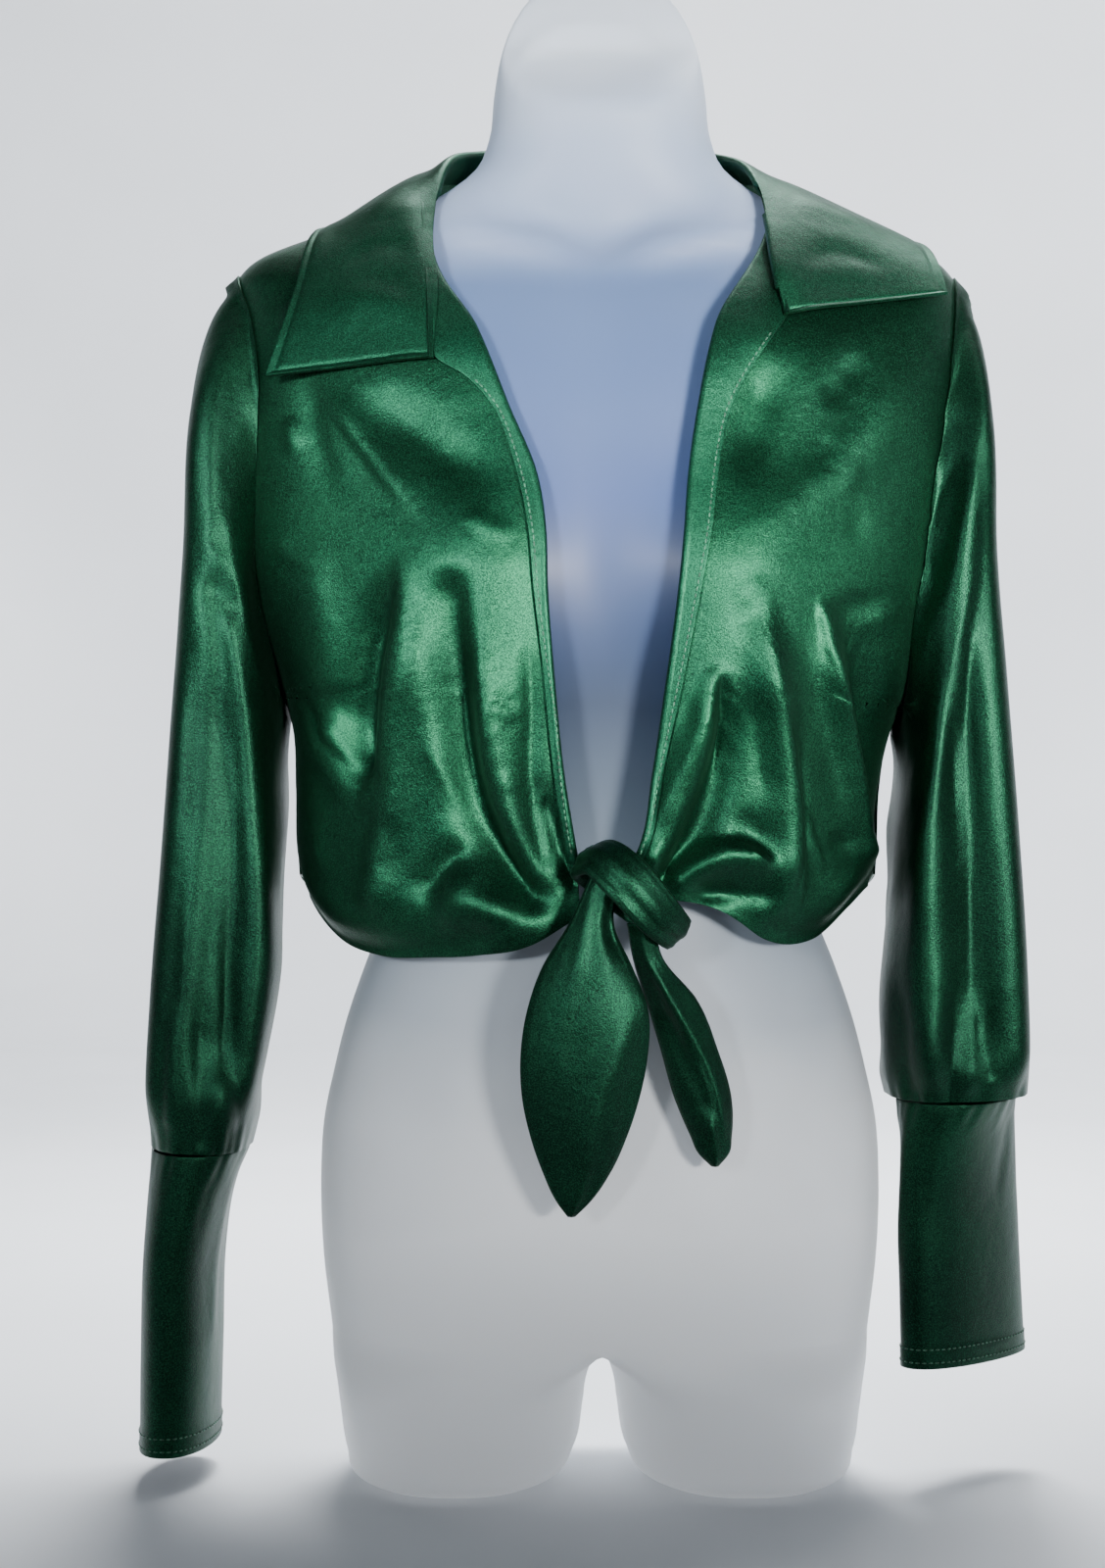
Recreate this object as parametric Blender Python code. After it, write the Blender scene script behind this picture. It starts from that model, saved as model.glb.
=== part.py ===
"""A satin tie-front crop top with a spread collar, worn by a limbless torso form.

Metres, +Z up, the wearer faces -Y.  Every sub-part is its own object.  The form stands on the
flat ends of its two thighs.  "Right" and "left" are the wearer's own sides, so the right side
has negative X.  Each cloth piece is drawn as a sheet from short tables of sizes, laid clear of
what it rests on, and then given its wall.
"""

import math

import bmesh
import bpy
import numpy as np
from mathutils import Vector
from mathutils.bvhtree import BVHTree

# Driving sizes, in metres.
CLOTH = 0.0015
COLLAR_WALL = 0.0018
SEAM_GAP = 0.0004
REST_GAP = 0.0006
PLACE = Vector((0.0061, 0.0198, 0.0))
CROTCH_HEIGHT = 0.080
NECK_POINT_HEIGHT = 0.677
RIGHT, LEFT = -1, 1

# How finely each piece is drawn.
FORM_HALF_STEPS = 14
THIGH_INNER_STEPS = 6
FRONT_STEPS = (20, 24)
BACK_STEPS = (20, 13)
SLEEVE_STEPS = (22, 16)
CUFF_STEPS = (18, 5)
COLLAR_STEPS = (28, 8)
LAPEL_STEPS = (3, 20)
TAIL_STEPS = (14, 13)
KNOT_STEPS = (14, 22)


def table(columns, *rows):
    """A table of sizes with named columns. The first column is what the others are read by."""
    names = columns.split()
    return {"by": names[0], **{n: np.array([r[i] for r in rows]) for i, n in enumerate(names)}}


def read(sizes, column, at):
    """A column's value on the smooth curve through the table's rows, held at its ends."""
    xs, ys = sizes[sizes["by"]], sizes[column]
    slopes = np.gradient(ys, xs)
    at = np.clip(at, xs[0], xs[-1])
    i = int(np.clip(np.searchsorted(xs, at) - 1, 0, len(xs) - 2))
    step = xs[i + 1] - xs[i]
    t = (at - xs[i]) / step
    return float(
        ys[i] * (1 + 2 * t) * (1 - t) ** 2
        + ys[i + 1] * t * t * (3 - 2 * t)
        + step * (slopes[i] * t * (1 - t) ** 2 - slopes[i + 1] * t * t * (1 - t))
    )


def mix(a, b, t):
    return a + (b - a) * t


def ease(t):
    t = min(max(t, 0.0), 1.0)
    return t * t * (3 - 2 * t)


# The torso form: half its width, and its depth before and behind the side line.
FORM = table(
    "height width front back",
    (0.080, 0.1415, 0.084, 0.088),
    (0.120, 0.1462, 0.088, 0.096),
    (0.158, 0.1475, 0.089, 0.100),
    (0.192, 0.1455, 0.086, 0.098),
    (0.216, 0.1405, 0.083, 0.094),
    (0.242, 0.1340, 0.080, 0.088),
    (0.270, 0.1245, 0.077, 0.080),
    (0.300, 0.1130, 0.074, 0.071),
    (0.335, 0.1060, 0.073, 0.066),
    (0.370, 0.1070, 0.076, 0.068),
    (0.410, 0.1140, 0.082, 0.074),
    (0.450, 0.1250, 0.089, 0.081),
    (0.490, 0.1380, 0.091, 0.087),
    (0.530, 0.1530, 0.088, 0.090),
    (0.565, 0.1660, 0.081, 0.087),
    (0.595, 0.1740, 0.069, 0.079),
    (0.618, 0.1745, 0.056, 0.069),
    (0.633, 0.1690, 0.046, 0.059),
    (0.6445, 0.1565, 0.040, 0.051),
    (0.6530, 0.1375, 0.037, 0.048),
    (0.6613, 0.1185, 0.036, 0.047),
    (0.6685, 0.1005, 0.036, 0.047),
    (0.677, 0.0840, 0.037, 0.047),
    (0.690, 0.0665, 0.039, 0.045),
    (0.706, 0.0590, 0.040, 0.042),
    (0.730, 0.0560, 0.040, 0.034),
    (0.752, 0.0520, 0.038, 0.022),
    (0.770, 0.0450, 0.036, 0.013),
    (0.784, 0.0345, 0.034, 0.011),
    (0.793, 0.0220, 0.030, 0.010),
    (0.797, 0.0120, 0.020, 0.009),
)
FORM_ROUNDNESS = 2.25
BUST_ACROSS, BUST_HEIGHT, BUST_RISE = 0.066, 0.470, 0.018
BUST_SPREAD, BUST_SPREAD_UP, BUST_SPREAD_DOWN = 0.042, 0.045, 0.040
TAB_THICKNESS, TAB_HEIGHT, TAB_SLOPE = 0.006, 0.755, 0.95

# Each thigh's stub below the crotch.
THIGH = table(
    "height centre width front back",
    (0.000, 0.0760, 0.0440, 0.052, 0.056),
    (0.005, 0.0765, 0.0520, 0.066, 0.070),
    (0.018, 0.0765, 0.0570, 0.074, 0.079),
    (0.040, 0.0755, 0.0615, 0.079, 0.084),
    (0.064, 0.0735, 0.0665, 0.083, 0.087),
)

# The blouse's body, worn: half widths on each side and depths at each height.
BODICE = table(
    "height right left front back",
    (0.270, 0.1480, 0.1410, 0.097, 0.090),
    (0.300, 0.1560, 0.1440, 0.098, 0.092),
    (0.330, 0.1590, 0.1460, 0.098, 0.093),
    (0.365, 0.1595, 0.1475, 0.099, 0.093),
    (0.395, 0.1610, 0.1530, 0.100, 0.093),
    (0.420, 0.1680, 0.1640, 0.101, 0.093),
    (0.450, 0.1800, 0.1720, 0.100, 0.093),
    (0.480, 0.1880, 0.1790, 0.099, 0.094),
    (0.510, 0.1900, 0.1840, 0.098, 0.095),
    (0.545, 0.1905, 0.1890, 0.095, 0.096),
    (0.575, 0.1910, 0.1915, 0.089, 0.093),
    (0.600, 0.1915, 0.1915, 0.079, 0.086),
    (0.618, 0.1915, 0.1900, 0.068, 0.076),
    (0.632, 0.1905, 0.1860, 0.057, 0.067),
    (0.643, 0.1780, 0.1740, 0.049, 0.060),
    (0.651, 0.1580, 0.1560, 0.044, 0.055),
    (0.659, 0.1340, 0.1330, 0.042, 0.052),
    (0.667, 0.1110, 0.1110, 0.041, 0.051),
    (0.677, 0.0890, 0.0890, 0.041, 0.050),
)
BODICE_ROUNDNESS = 2.4
DRAPE_SPREAD, DRAPE_SPREAD_UP, DRAPE_SPREAD_DOWN = 0.052, 0.050, 0.130

# Where each front's free edge and its armhole seam run, across from the centre line.
FRONT_EDGE = table(
    "height right left",
    (0.290, 0.0110, 0.0115),
    (0.322, 0.0128, 0.0135),
    (0.335, 0.0150, 0.0190),
    (0.371, 0.0208, 0.0258),
    (0.414, 0.0252, 0.0320),
    (0.463, 0.0289, 0.0385),
    (0.493, 0.0299, 0.0415),
    (0.518, 0.0338, 0.0435),
    (0.555, 0.0485, 0.0490),
    (0.597, 0.0647, 0.0580),
    (0.637, 0.0830, 0.0705),
    (0.660, 0.0870, 0.0790),
    (0.677, 0.0885, 0.0885),
)
ARMHOLE = table(
    "height right_front left_front right_back left_back",
    (0.413, 0.1650, 0.1585, 0.1650, 0.1585),
    (0.448, 0.1730, 0.1600, 0.1720, 0.1640),
    (0.475, 0.1785, 0.1640, 0.1740, 0.1690),
    (0.507, 0.1780, 0.1690, 0.1740, 0.1720),
    (0.547, 0.1765, 0.1750, 0.1750, 0.1750),
    (0.573, 0.1750, 0.1785, 0.1770, 0.1780),
    (0.605, 0.1800, 0.1830, 0.1820, 0.1820),
    (0.634, 0.1900, 0.1860, 0.1900, 0.1860),
)
SHOULDER_HEIGHT = {RIGHT: 0.634, LEFT: 0.632}
UNDERARM_HEIGHT = {RIGHT: 0.413, LEFT: 0.400}
SIDE = {RIGHT: "right", LEFT: "left"}

# The hem's height across each front, from the side seam (0) to the free edge (1).
FRONT_HEM = table(
    "across right left",
    (0.00, 0.328, 0.314),
    (0.12, 0.305, 0.312),
    (0.25, 0.288, 0.303),
    (0.45, 0.279, 0.287),
    (0.65, 0.279, 0.288),
    (0.80, 0.281, 0.303),
    (0.92, 0.287, 0.309),
    (1.00, 0.300, 0.311),
)
BACK_HEM_HEIGHT = 0.300
HEM_ROLL_HEIGHT, HEM_ROLL_IN = 0.030, 0.012

# The largest folds of each front, drawn from the front: where each starts, bends and ends,
# how wide it is and how far it stands out (or in, below zero).
FRONT_FOLDS = table(
    "side x0 z0 x1 z1 x2 z2 width rise",
    (RIGHT, -0.0758, 0.476, -0.0820, 0.365, -0.0340, 0.312, 0.010, -0.0085),
    (RIGHT, -0.0540, 0.440, -0.0560, 0.360, -0.0320, 0.315, 0.009, 0.0060),
    (RIGHT, -0.1014, 0.481, -0.1330, 0.410, -0.1174, 0.364, 0.009, -0.0070),
    (RIGHT, -0.0960, 0.465, -0.0960, 0.390, -0.1120, 0.312, 0.010, 0.0060),
    (RIGHT, -0.1440, 0.406, -0.1320, 0.381, -0.1174, 0.362, 0.008, 0.0060),
    (RIGHT, -0.0300, 0.372, -0.0320, 0.345, -0.0148, 0.317, 0.005, -0.0050),
    (RIGHT, -0.0800, 0.330, -0.0620, 0.298, -0.0380, 0.300, 0.013, 0.0060),
    (LEFT, 0.0577, 0.428, 0.0480, 0.372, 0.0235, 0.325, 0.007, 0.0075),
    (LEFT, 0.0610, 0.422, 0.0680, 0.355, 0.0290, 0.315, 0.007, -0.0090),
    (LEFT, 0.0795, 0.455, 0.0880, 0.390, 0.0905, 0.320, 0.010, 0.0065),
    (LEFT, 0.0900, 0.319, 0.0600, 0.342, 0.0290, 0.312, 0.006, 0.0075),
    (LEFT, 0.0400, 0.309, 0.0600, 0.313, 0.0820, 0.311, 0.005, -0.0040),
    (LEFT, 0.1065, 0.451, 0.1200, 0.395, 0.1350, 0.333, 0.007, 0.0055),
    (LEFT, 0.1290, 0.450, 0.1360, 0.400, 0.1400, 0.345, 0.009, -0.0050),
)
BACK_FOLDS = table(
    "side x0 z0 x1 z1 x2 z2 width rise",
    (LEFT, 0.060, 0.540, 0.070, 0.430, 0.066, 0.310, 0.016, 0.0050),
    (LEFT, 0.110, 0.500, 0.100, 0.420, 0.104, 0.320, 0.014, -0.0040),
    (RIGHT, -0.064, 0.550, -0.072, 0.430, -0.060, 0.310, 0.016, 0.0050),
    (RIGHT, -0.112, 0.500, -0.106, 0.420, -0.100, 0.320, 0.014, -0.0040),
    (LEFT, 0.008, 0.500, -0.004, 0.420, 0.000, 0.310, 0.018, 0.0040),
)

# Each turned-back front edge: from the fold to its stitched outer edge.
LAPEL_EDGE = table(
    "height right left",
    (0.395, 0.0245, 0.0345),
    (0.424, 0.0295, 0.0405),
    (0.463, 0.0345, 0.0480),
    (0.493, 0.0372, 0.0535),
    (0.514, 0.0410, 0.0560),
    (0.534, 0.0465, 0.0590),
    (0.556, 0.0560, 0.0650),
    (0.570, 0.0690, 0.0720),
    (0.579, 0.0830, 0.0775),
    (0.590, 0.0840, 0.0850),
    (0.602, 0.0850, 0.0930),
)
LAPEL_TOP = {RIGHT: (0.577, 0.618), LEFT: (0.600, 0.636)}
LAPEL_BOTTOM = {RIGHT: 0.430, LEFT: 0.405}
LAPEL_LIFT = (0.0006, 0.0014)

# The collar, from the wearer's right corner round the neck to the left one: the neck seam,
# the roll where it turns over, and the outer edge.
COLLAR = table(
    "along sx sy sz rx ry rz ex ey ez",
    (0.00, -0.0856, -0.0850, 0.5785, -0.0858, -0.0860, 0.5790, -0.1702, -0.0680, 0.5718),
    (0.10, -0.0870, -0.0640, 0.6120, -0.0830, -0.0690, 0.6150, -0.1600, -0.0570, 0.6060),
    (0.19, -0.0908, -0.0392, 0.6496, -0.0868, -0.0440, 0.6500, -0.1510, -0.0370, 0.6380),
    (0.28, -0.0880, -0.0020, 0.6835, -0.0805, -0.0080, 0.6880, -0.1440, 0.0020, 0.6610),
    (0.37, -0.0640, 0.0370, 0.6860, -0.0600, 0.0330, 0.7020, -0.1180, 0.0620, 0.6520),
    (0.50, 0.0000, 0.0560, 0.6880, 0.0000, 0.0600, 0.7140, 0.0000, 0.0960, 0.6450),
    (0.63, 0.0640, 0.0370, 0.6860, 0.0590, 0.0330, 0.7010, 0.1180, 0.0660, 0.6520),
    (0.72, 0.0865, -0.0020, 0.6805, 0.0775, -0.0080, 0.6855, 0.1540, 0.0260, 0.6550),
    (0.81, 0.0880, -0.0360, 0.6520, 0.0855, -0.0400, 0.6600, 0.1695, -0.0060, 0.6525),
    (0.90, 0.0900, -0.0600, 0.6240, 0.0885, -0.0640, 0.6300, 0.1745, -0.0315, 0.6370),
    (1.00, 0.0930, -0.0740, 0.6020, 0.0932, -0.0750, 0.6025, 0.1780, -0.0460, 0.6175),
)
COLLAR_CLEAR, COLLAR_STAND_CLEAR = 0.0017, 0.0050
COLLAR_STAND = 0.26
COLLAR_SETTLING = 6

# Each sleeve hangs from the shoulder: its outer and inner lines as seen from the front, and
# how far it reaches before and behind.  "Down" runs from the shoulder (0) to the cuff (1).
SLEEVE = {
    RIGHT: table(
        "down ox oz ix iz front back",
        (0.00, -0.1905, 0.634, -0.1640, 0.413, 0.052, 0.052),
        (0.08, -0.2040, 0.612, -0.1660, 0.396, 0.057, 0.058),
        (0.18, -0.2130, 0.570, -0.1680, 0.374, 0.061, 0.062),
        (0.32, -0.2160, 0.498, -0.1680, 0.344, 0.062, 0.064),
        (0.48, -0.2225, 0.412, -0.1675, 0.308, 0.061, 0.064),
        (0.64, -0.2280, 0.336, -0.1670, 0.270, 0.060, 0.062),
        (0.80, -0.2335, 0.262, -0.1735, 0.230, 0.058, 0.060),
        (0.92, -0.2360, 0.206, -0.1810, 0.196, 0.055, 0.057),
        (1.00, -0.2350, 0.177, -0.1865, 0.175, 0.049, 0.051),
    ),
    LEFT: table(
        "down ox oz ix iz front back",
        (0.00, 0.1865, 0.632, 0.1580, 0.400, 0.052, 0.052),
        (0.08, 0.1980, 0.608, 0.1585, 0.386, 0.056, 0.058),
        (0.18, 0.2028, 0.568, 0.1590, 0.366, 0.060, 0.062),
        (0.32, 0.2045, 0.500, 0.1565, 0.340, 0.062, 0.064),
        (0.48, 0.2105, 0.430, 0.1535, 0.312, 0.061, 0.064),
        (0.64, 0.2175, 0.350, 0.1500, 0.282, 0.060, 0.062),
        (0.80, 0.2230, 0.276, 0.1475, 0.246, 0.058, 0.060),
        (0.92, 0.2250, 0.224, 0.1500, 0.216, 0.054, 0.056),
        (1.00, 0.2240, 0.204, 0.1535, 0.202, 0.048, 0.050),
    ),
}
SLEEVE_ROUNDNESS = 2.5
SLEEVE_START = 0.0034
ARMHOLE_OPEN = 0.016
SLEEVE_CLEAR = 0.0012
# Long soft folds down each sleeve: the angle round it (0 outside, 90 front), how wide and
# how deep, and the stretch that each covers.
SLEEVE_FOLDS = table(
    "side angle turn width rise start end",
    (RIGHT, 48, -6, 16, 0.0060, 0.02, 1.00),
    (RIGHT, 92, 14, 20, -0.0090, 0.22, 0.92),
    (RIGHT, 128, 10, 18, 0.0050, 0.30, 0.96),
    (RIGHT, 200, 0, 26, -0.0050, 0.30, 0.95),
    (RIGHT, 300, 0, 24, 0.0050, 0.10, 0.98),
    (LEFT, 40, 10, 16, 0.0060, 0.03, 1.00),
    (LEFT, 84, 0, 17, -0.0080, 0.25, 0.95),
    (LEFT, 122, -8, 18, 0.0060, 0.28, 0.98),
    (LEFT, 205, 0, 26, -0.0050, 0.30, 0.95),
    (LEFT, 305, 0, 24, 0.0050, 0.10, 0.98),
)

# Each deep cuff: centre, half lengths of its flattened ring, and the turn of its flat side.
CUFF = {
    RIGHT: table(
        "height cx cy long short turn",
        (0.018, -0.2224, 0.002, 0.0435, 0.0175, 84),
        (0.070, -0.2215, 0.002, 0.0440, 0.0180, 84),
        (0.120, -0.2199, 0.001, 0.0450, 0.0180, 84),
        (0.150, -0.2165, 0.001, 0.0465, 0.0205, 88),
        (0.1745, -0.2113, 0.001, 0.0485, 0.0240, 90),
    ),
    LEFT: table(
        "height cx cy long short turn",
        (0.0625, 0.1932, 0.000, 0.0450, 0.0170, 44),
        (0.1100, 0.1915, 0.000, 0.0450, 0.0175, 46),
        (0.1500, 0.1908, 0.001, 0.0455, 0.0190, 50),
        (0.1800, 0.1905, 0.001, 0.0465, 0.0230, 58),
        (0.2010, 0.1895, 0.001, 0.0480, 0.0290, 70),
    ),
}

# The two tie ends, each a doubled leaf of cloth, and the knot between them.
TAIL = {
    RIGHT: table(
        "height centre width front thick bow ridge",
        (0.1545, -0.0158, 0.0020, -0.119, 0.0010, 0.001, 0.00),
        (0.1600, -0.0150, 0.0070, -0.120, 0.0014, 0.002, 0.10),
        (0.1770, -0.0131, 0.0171, -0.122, 0.0015, 0.004, 0.20),
        (0.1936, -0.0122, 0.0237, -0.124, 0.0015, 0.006, 0.25),
        (0.2121, -0.0112, 0.0287, -0.126, 0.0015, 0.008, 0.35),
        (0.2302, -0.0098, 0.0310, -0.128, 0.0015, 0.009, 0.50),
        (0.2573, -0.0078, 0.0292, -0.129, 0.0017, 0.010, 0.70),
        (0.2772, -0.0080, 0.0218, -0.127, 0.0026, 0.008, 0.60),
        (0.2967, -0.0062, 0.0115, -0.1225, 0.0046, 0.003, 0.40),
        (0.3220, 0.0010, 0.0072, -0.1198, 0.0070, 0.001, 0.30),
    ),
    LEFT: table(
        "height centre width front thick bow ridge",
        (0.1770, 0.0553, 0.0020, -0.104, 0.0010, 0.002, 0.10),
        (0.1830, 0.0548, 0.0075, -0.105, 0.0014, 0.003, 0.10),
        (0.1917, 0.0535, 0.0103, -0.106, 0.0015, 0.005, 0.10),
        (0.2104, 0.0495, 0.0142, -0.108, 0.0015, 0.007, 0.10),
        (0.2349, 0.0425, 0.0142, -0.111, 0.0015, 0.008, 0.00),
        (0.2609, 0.0330, 0.0125, -0.114, 0.0022, 0.006, -0.1),
        (0.2800, 0.0220, 0.0076, -0.117, 0.0034, 0.002, -0.1),
        (0.2980, 0.0180, 0.0068, -0.1185, 0.0060, 0.001, 0.0),
    ),
}
TAIL_RIDGE, TAIL_RIDGE_WIDTH = 0.0035, 0.28
KNOT = table(
    "round x y z wide thick",
    (0.000, -0.0100, -0.1140, 0.3280, 0.0100, 0.0034),
    (0.125, -0.0010, -0.1270, 0.3300, 0.0115, 0.0042),
    (0.250, 0.0120, -0.1340, 0.3190, 0.0125, 0.0046),
    (0.375, 0.0260, -0.1310, 0.3030, 0.0115, 0.0042),
    (0.500, 0.0360, -0.1190, 0.2930, 0.0095, 0.0034),
    (0.625, 0.0300, -0.1095, 0.2970, 0.0100, 0.0032),
    (0.750, 0.0130, -0.1054, 0.3090, 0.0100, 0.0032),
    (0.875, -0.0030, -0.1060, 0.3220, 0.0100, 0.0032),
    (1.000, -0.0100, -0.1140, 0.3280, 0.0100, 0.0034),
)
KNOT_GROOVE = 0.25


def clear_scene():
    for item in list(bpy.data.objects):
        bpy.data.objects.remove(item)


def material(name, colour, roughness, metallic=0.0, alpha=1.0):
    finish = bpy.data.materials.new(name)
    finish.use_nodes = True
    shader = finish.node_tree.nodes["Principled BSDF"]
    shader.inputs["Base Color"].default_value = (*colour, 1.0)
    shader.inputs["Roughness"].default_value = roughness
    shader.inputs["Metallic"].default_value = metallic
    shader.inputs["Alpha"].default_value = alpha
    return finish


def add_object(name, bm, finish, stand):
    """The finished bmesh as a named object that stands where the form stands."""
    mesh = bpy.data.meshes.new(name)
    bm.to_mesh(mesh)
    bm.free()
    mesh.materials.append(finish)
    mesh.shade_smooth()
    item = bpy.data.objects.new(name, mesh)
    bpy.context.scene.collection.objects.link(item)
    item.parent = stand
    return item


def sheet(steps, place, closed=False):
    """A grid whose points place(u, v) sets; u runs across and v along, each from 0 to 1.
    A closed grid joins its last column to its first, so that it is a tube."""
    across, along = steps
    bm = bmesh.new()
    columns = across if closed else across + 1
    points = [
        [bm.verts.new(place(i / across, j / along)) for i in range(columns)]
        for j in range(along + 1)
    ]
    for j in range(along):
        for i in range(across):
            k = (i + 1) % columns
            bm.faces.new((points[j][i], points[j][k], points[j + 1][k], points[j + 1][i]))
    return bm


def lift_off(verts, tree, clear):
    """Moves each point that lies nearer than clear to a surface, or inside it, straight out."""
    for v in verts:
        near, normal, _, _ = tree.find_nearest(v.co)
        depth = (v.co - near).dot(normal)
        if depth < clear:
            v.co += normal * (clear - depth)


def wall(bm, thickness, inside):
    """Gives a sheet its wall on the side that faces away from a point inside the garment.
    Returns the wall's outer skin as points and faces."""
    bmesh.ops.recalc_face_normals(bm, faces=bm.faces)
    facing = sum(f.normal.dot(f.calc_center_median() - inside) * f.calc_area() for f in bm.faces)
    if facing < 0:
        bmesh.ops.reverse_faces(bm, faces=bm.faces)
    bm.normal_update()
    drawn = list(bm.verts)
    number = {v: i for i, v in enumerate(drawn)}
    outer = [bm.verts.new(v.co + v.normal * thickness) for v in drawn]
    skin = [[number[v] for v in f.verts] for f in bm.faces]
    rim = [loop for f in bm.faces for loop in f.loops if loop.edge.is_boundary]
    rim = [(number[loop.vert], number[loop.link_loop_next.vert]) for loop in rim]
    bmesh.ops.reverse_faces(bm, faces=bm.faces)
    for face in skin:
        bm.faces.new([outer[i] for i in face])
    for a, b in rim:
        bm.faces.new((drawn[a], drawn[b], outer[b], outer[a]))
    bm.normal_update()
    return [v.co.copy() for v in outer], skin


def tree_of(*skins):
    """A search tree over one or more skins."""
    points, faces = [], []
    for skin_points, skin_faces in skins:
        faces += [[i + len(points) for i in face] for face in skin_faces]
        points += skin_points
    return BVHTree.FromPolygons(points, faces)


def relax(bm, share):
    """Draws each point towards the middle of its neighbours; a rim point only along the rim."""
    goals = {}
    for v in bm.verts:
        edges = [e for e in v.link_edges if e.is_boundary] if v.is_boundary else v.link_edges
        if v.is_boundary and len(v.link_faces) == 1:
            continue
        near = [e.other_vert(v).co for e in edges]
        goals[v] = sum(near, Vector()) / len(near)
    for v, goal in goals.items():
        v.co = v.co.lerp(goal, share)


def rounded(angle, roundness):
    """The two shares of a superellipse's half widths at an angle."""
    c, s = math.cos(angle), math.sin(angle)
    power = 2.0 / roundness
    return math.copysign(abs(c) ** power, c), math.copysign(abs(s) ** power, s)


def mound(x, height, spread, spread_up, spread_down):
    """How far the bust stands forward of the plain section."""
    tall = spread_up if height > BUST_HEIGHT else spread_down
    across = (abs(x) - BUST_ACROSS) / spread
    return BUST_RISE * math.exp(-across * across - ((height - BUST_HEIGHT) / tall) ** 2)


# The torso form.


def form_point(height, angle):
    """A point on the form's skin: angle -90 is centre front, 0 the side, 90 centre back."""
    across, deep = rounded(angle, FORM_ROUNDNESS)
    x = read(FORM, "width", height) * max(across, 0.0)
    if deep > 0:
        return Vector((x, read(FORM, "back", height) * deep, height))
    y = read(FORM, "front", height) * -deep
    y += mound(x, height, BUST_SPREAD, BUST_SPREAD_UP, BUST_SPREAD_DOWN) * min(1.0, -4 * deep)
    # The neck is cut back on a slope to a flat tab.
    limit = TAB_THICKNESS + TAB_SLOPE * max(TAB_HEIGHT - height, 0.0)
    return Vector((x, -min(y, limit * (-deep) ** 0.25), height))


def thigh_point(height, turn):
    """A point on the stub of one thigh; turn 0 is its outer side, -180 and 180 its inner."""
    across, deep = rounded(turn, FORM_ROUNDNESS)
    reach = read(THIGH, "back" if deep > 0 else "front", height)
    return Vector(
        (read(THIGH, "centre", height) + read(THIGH, "width", height) * across, reach * deep, height)
    )


def make_form(finish, stand):
    """Half the torso, ring by ring from the neck's tab to the thigh's flat end, and its mirror."""
    bm = bmesh.new()
    outer, inner = FORM_HALF_STEPS, THIGH_INNER_STEPS
    heights = FORM["height"][::-1]
    rings = [
        [bm.verts.new(form_point(h, math.radians(mix(-90, 90, i / outer)))) for i in range(outer + 1)]
        for h in heights
    ]
    saddle = [
        bm.verts.new((0.0, mix(rings[-1][-1].co.y, rings[-1][0].co.y, i / inner), CROTCH_HEIGHT))
        for i in range(1, inner)
    ]
    bottom = rings[-1] + saddle
    for upper, lower in zip(rings[:-1], rings[1:]):
        for i in range(outer):
            bm.faces.new((upper[i], lower[i], lower[i + 1], upper[i + 1]))
    corner = 118
    turns = [mix(-corner, corner, i / outer) for i in range(outer + 1)]
    turns += [mix(corner, 360 - corner, i / inner) for i in range(1, inner)]
    for h in reversed(THIGH["height"]):
        ring = [bm.verts.new(thigh_point(h, math.radians(t))) for t in turns]
        for i in range(len(ring)):
            k = (i + 1) % len(ring)
            bm.faces.new((bottom[i], ring[i], ring[k], bottom[k]))
        bottom = ring
    bm.faces.new(reversed(bottom))
    bm.faces.new(rings[0])
    for v in rings[0] + [r[0] for r in rings] + [r[-1] for r in rings]:
        if abs(v.co.x) < 1e-4:
            v.co.x = 0.0
    bmesh.ops.recalc_face_normals(bm, faces=bm.faces)
    form = add_object("torso_form", bm, finish, stand)
    other_half = form.modifiers.new("Mirror", "MIRROR")
    other_half.merge_threshold = 0.00005
    return form


def tree_of_object(item):
    """A search tree over an object as its modifiers leave it, in the stand's own frame."""
    bpy.context.view_layer.update()
    shape = item.evaluated_get(bpy.context.evaluated_depsgraph_get())
    mesh = shape.to_mesh()
    skin = [v.co.copy() for v in mesh.vertices], [list(f.vertices) for f in mesh.polygons]
    shape.to_mesh_clear()
    return tree_of(skin)


# The blouse's body.


def bodice_width(side, height):
    return read(BODICE, SIDE[side], height)


def bodice_point(side, height, angle):
    """A point of the worn body: angle 0 is the side line, 90 centre front, -90 centre back."""
    across, deep = rounded(angle, BODICE_ROUNDNESS)
    x = bodice_width(side, height) * across
    if deep < 0:
        return Vector((side * x, -read(BODICE, "back", height) * deep, height))
    y = read(BODICE, "front", height) * deep
    y += mound(x, height, DRAPE_SPREAD, DRAPE_SPREAD_UP, DRAPE_SPREAD_DOWN) * min(1.0, 3 * deep)
    return Vector((side * x, -y, height))


def angle_at(side, height, x):
    """The angle at which the body's section reaches a given distance from the centre line."""
    share = min(abs(x) / bodice_width(side, height), 1.0)
    return math.acos(share ** (BODICE_ROUNDNESS / 2))


def armhole_angle(side, height, face):
    if height <= UNDERARM_HEIGHT[side] or height >= SHOULDER_HEIGHT[side]:
        return 0.0
    return angle_at(side, height, read(ARMHOLE, f"{SIDE[side]}_{face}", height))


def ridge_height(side, x):
    """The height of the shoulder seam at a distance from the centre line."""
    low, high = SHOULDER_HEIGHT[side], NECK_POINT_HEIGHT
    for _ in range(30):
        middle = (low + high) / 2
        if bodice_width(side, middle) > x:
            low = middle
        else:
            high = middle
    return low


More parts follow.
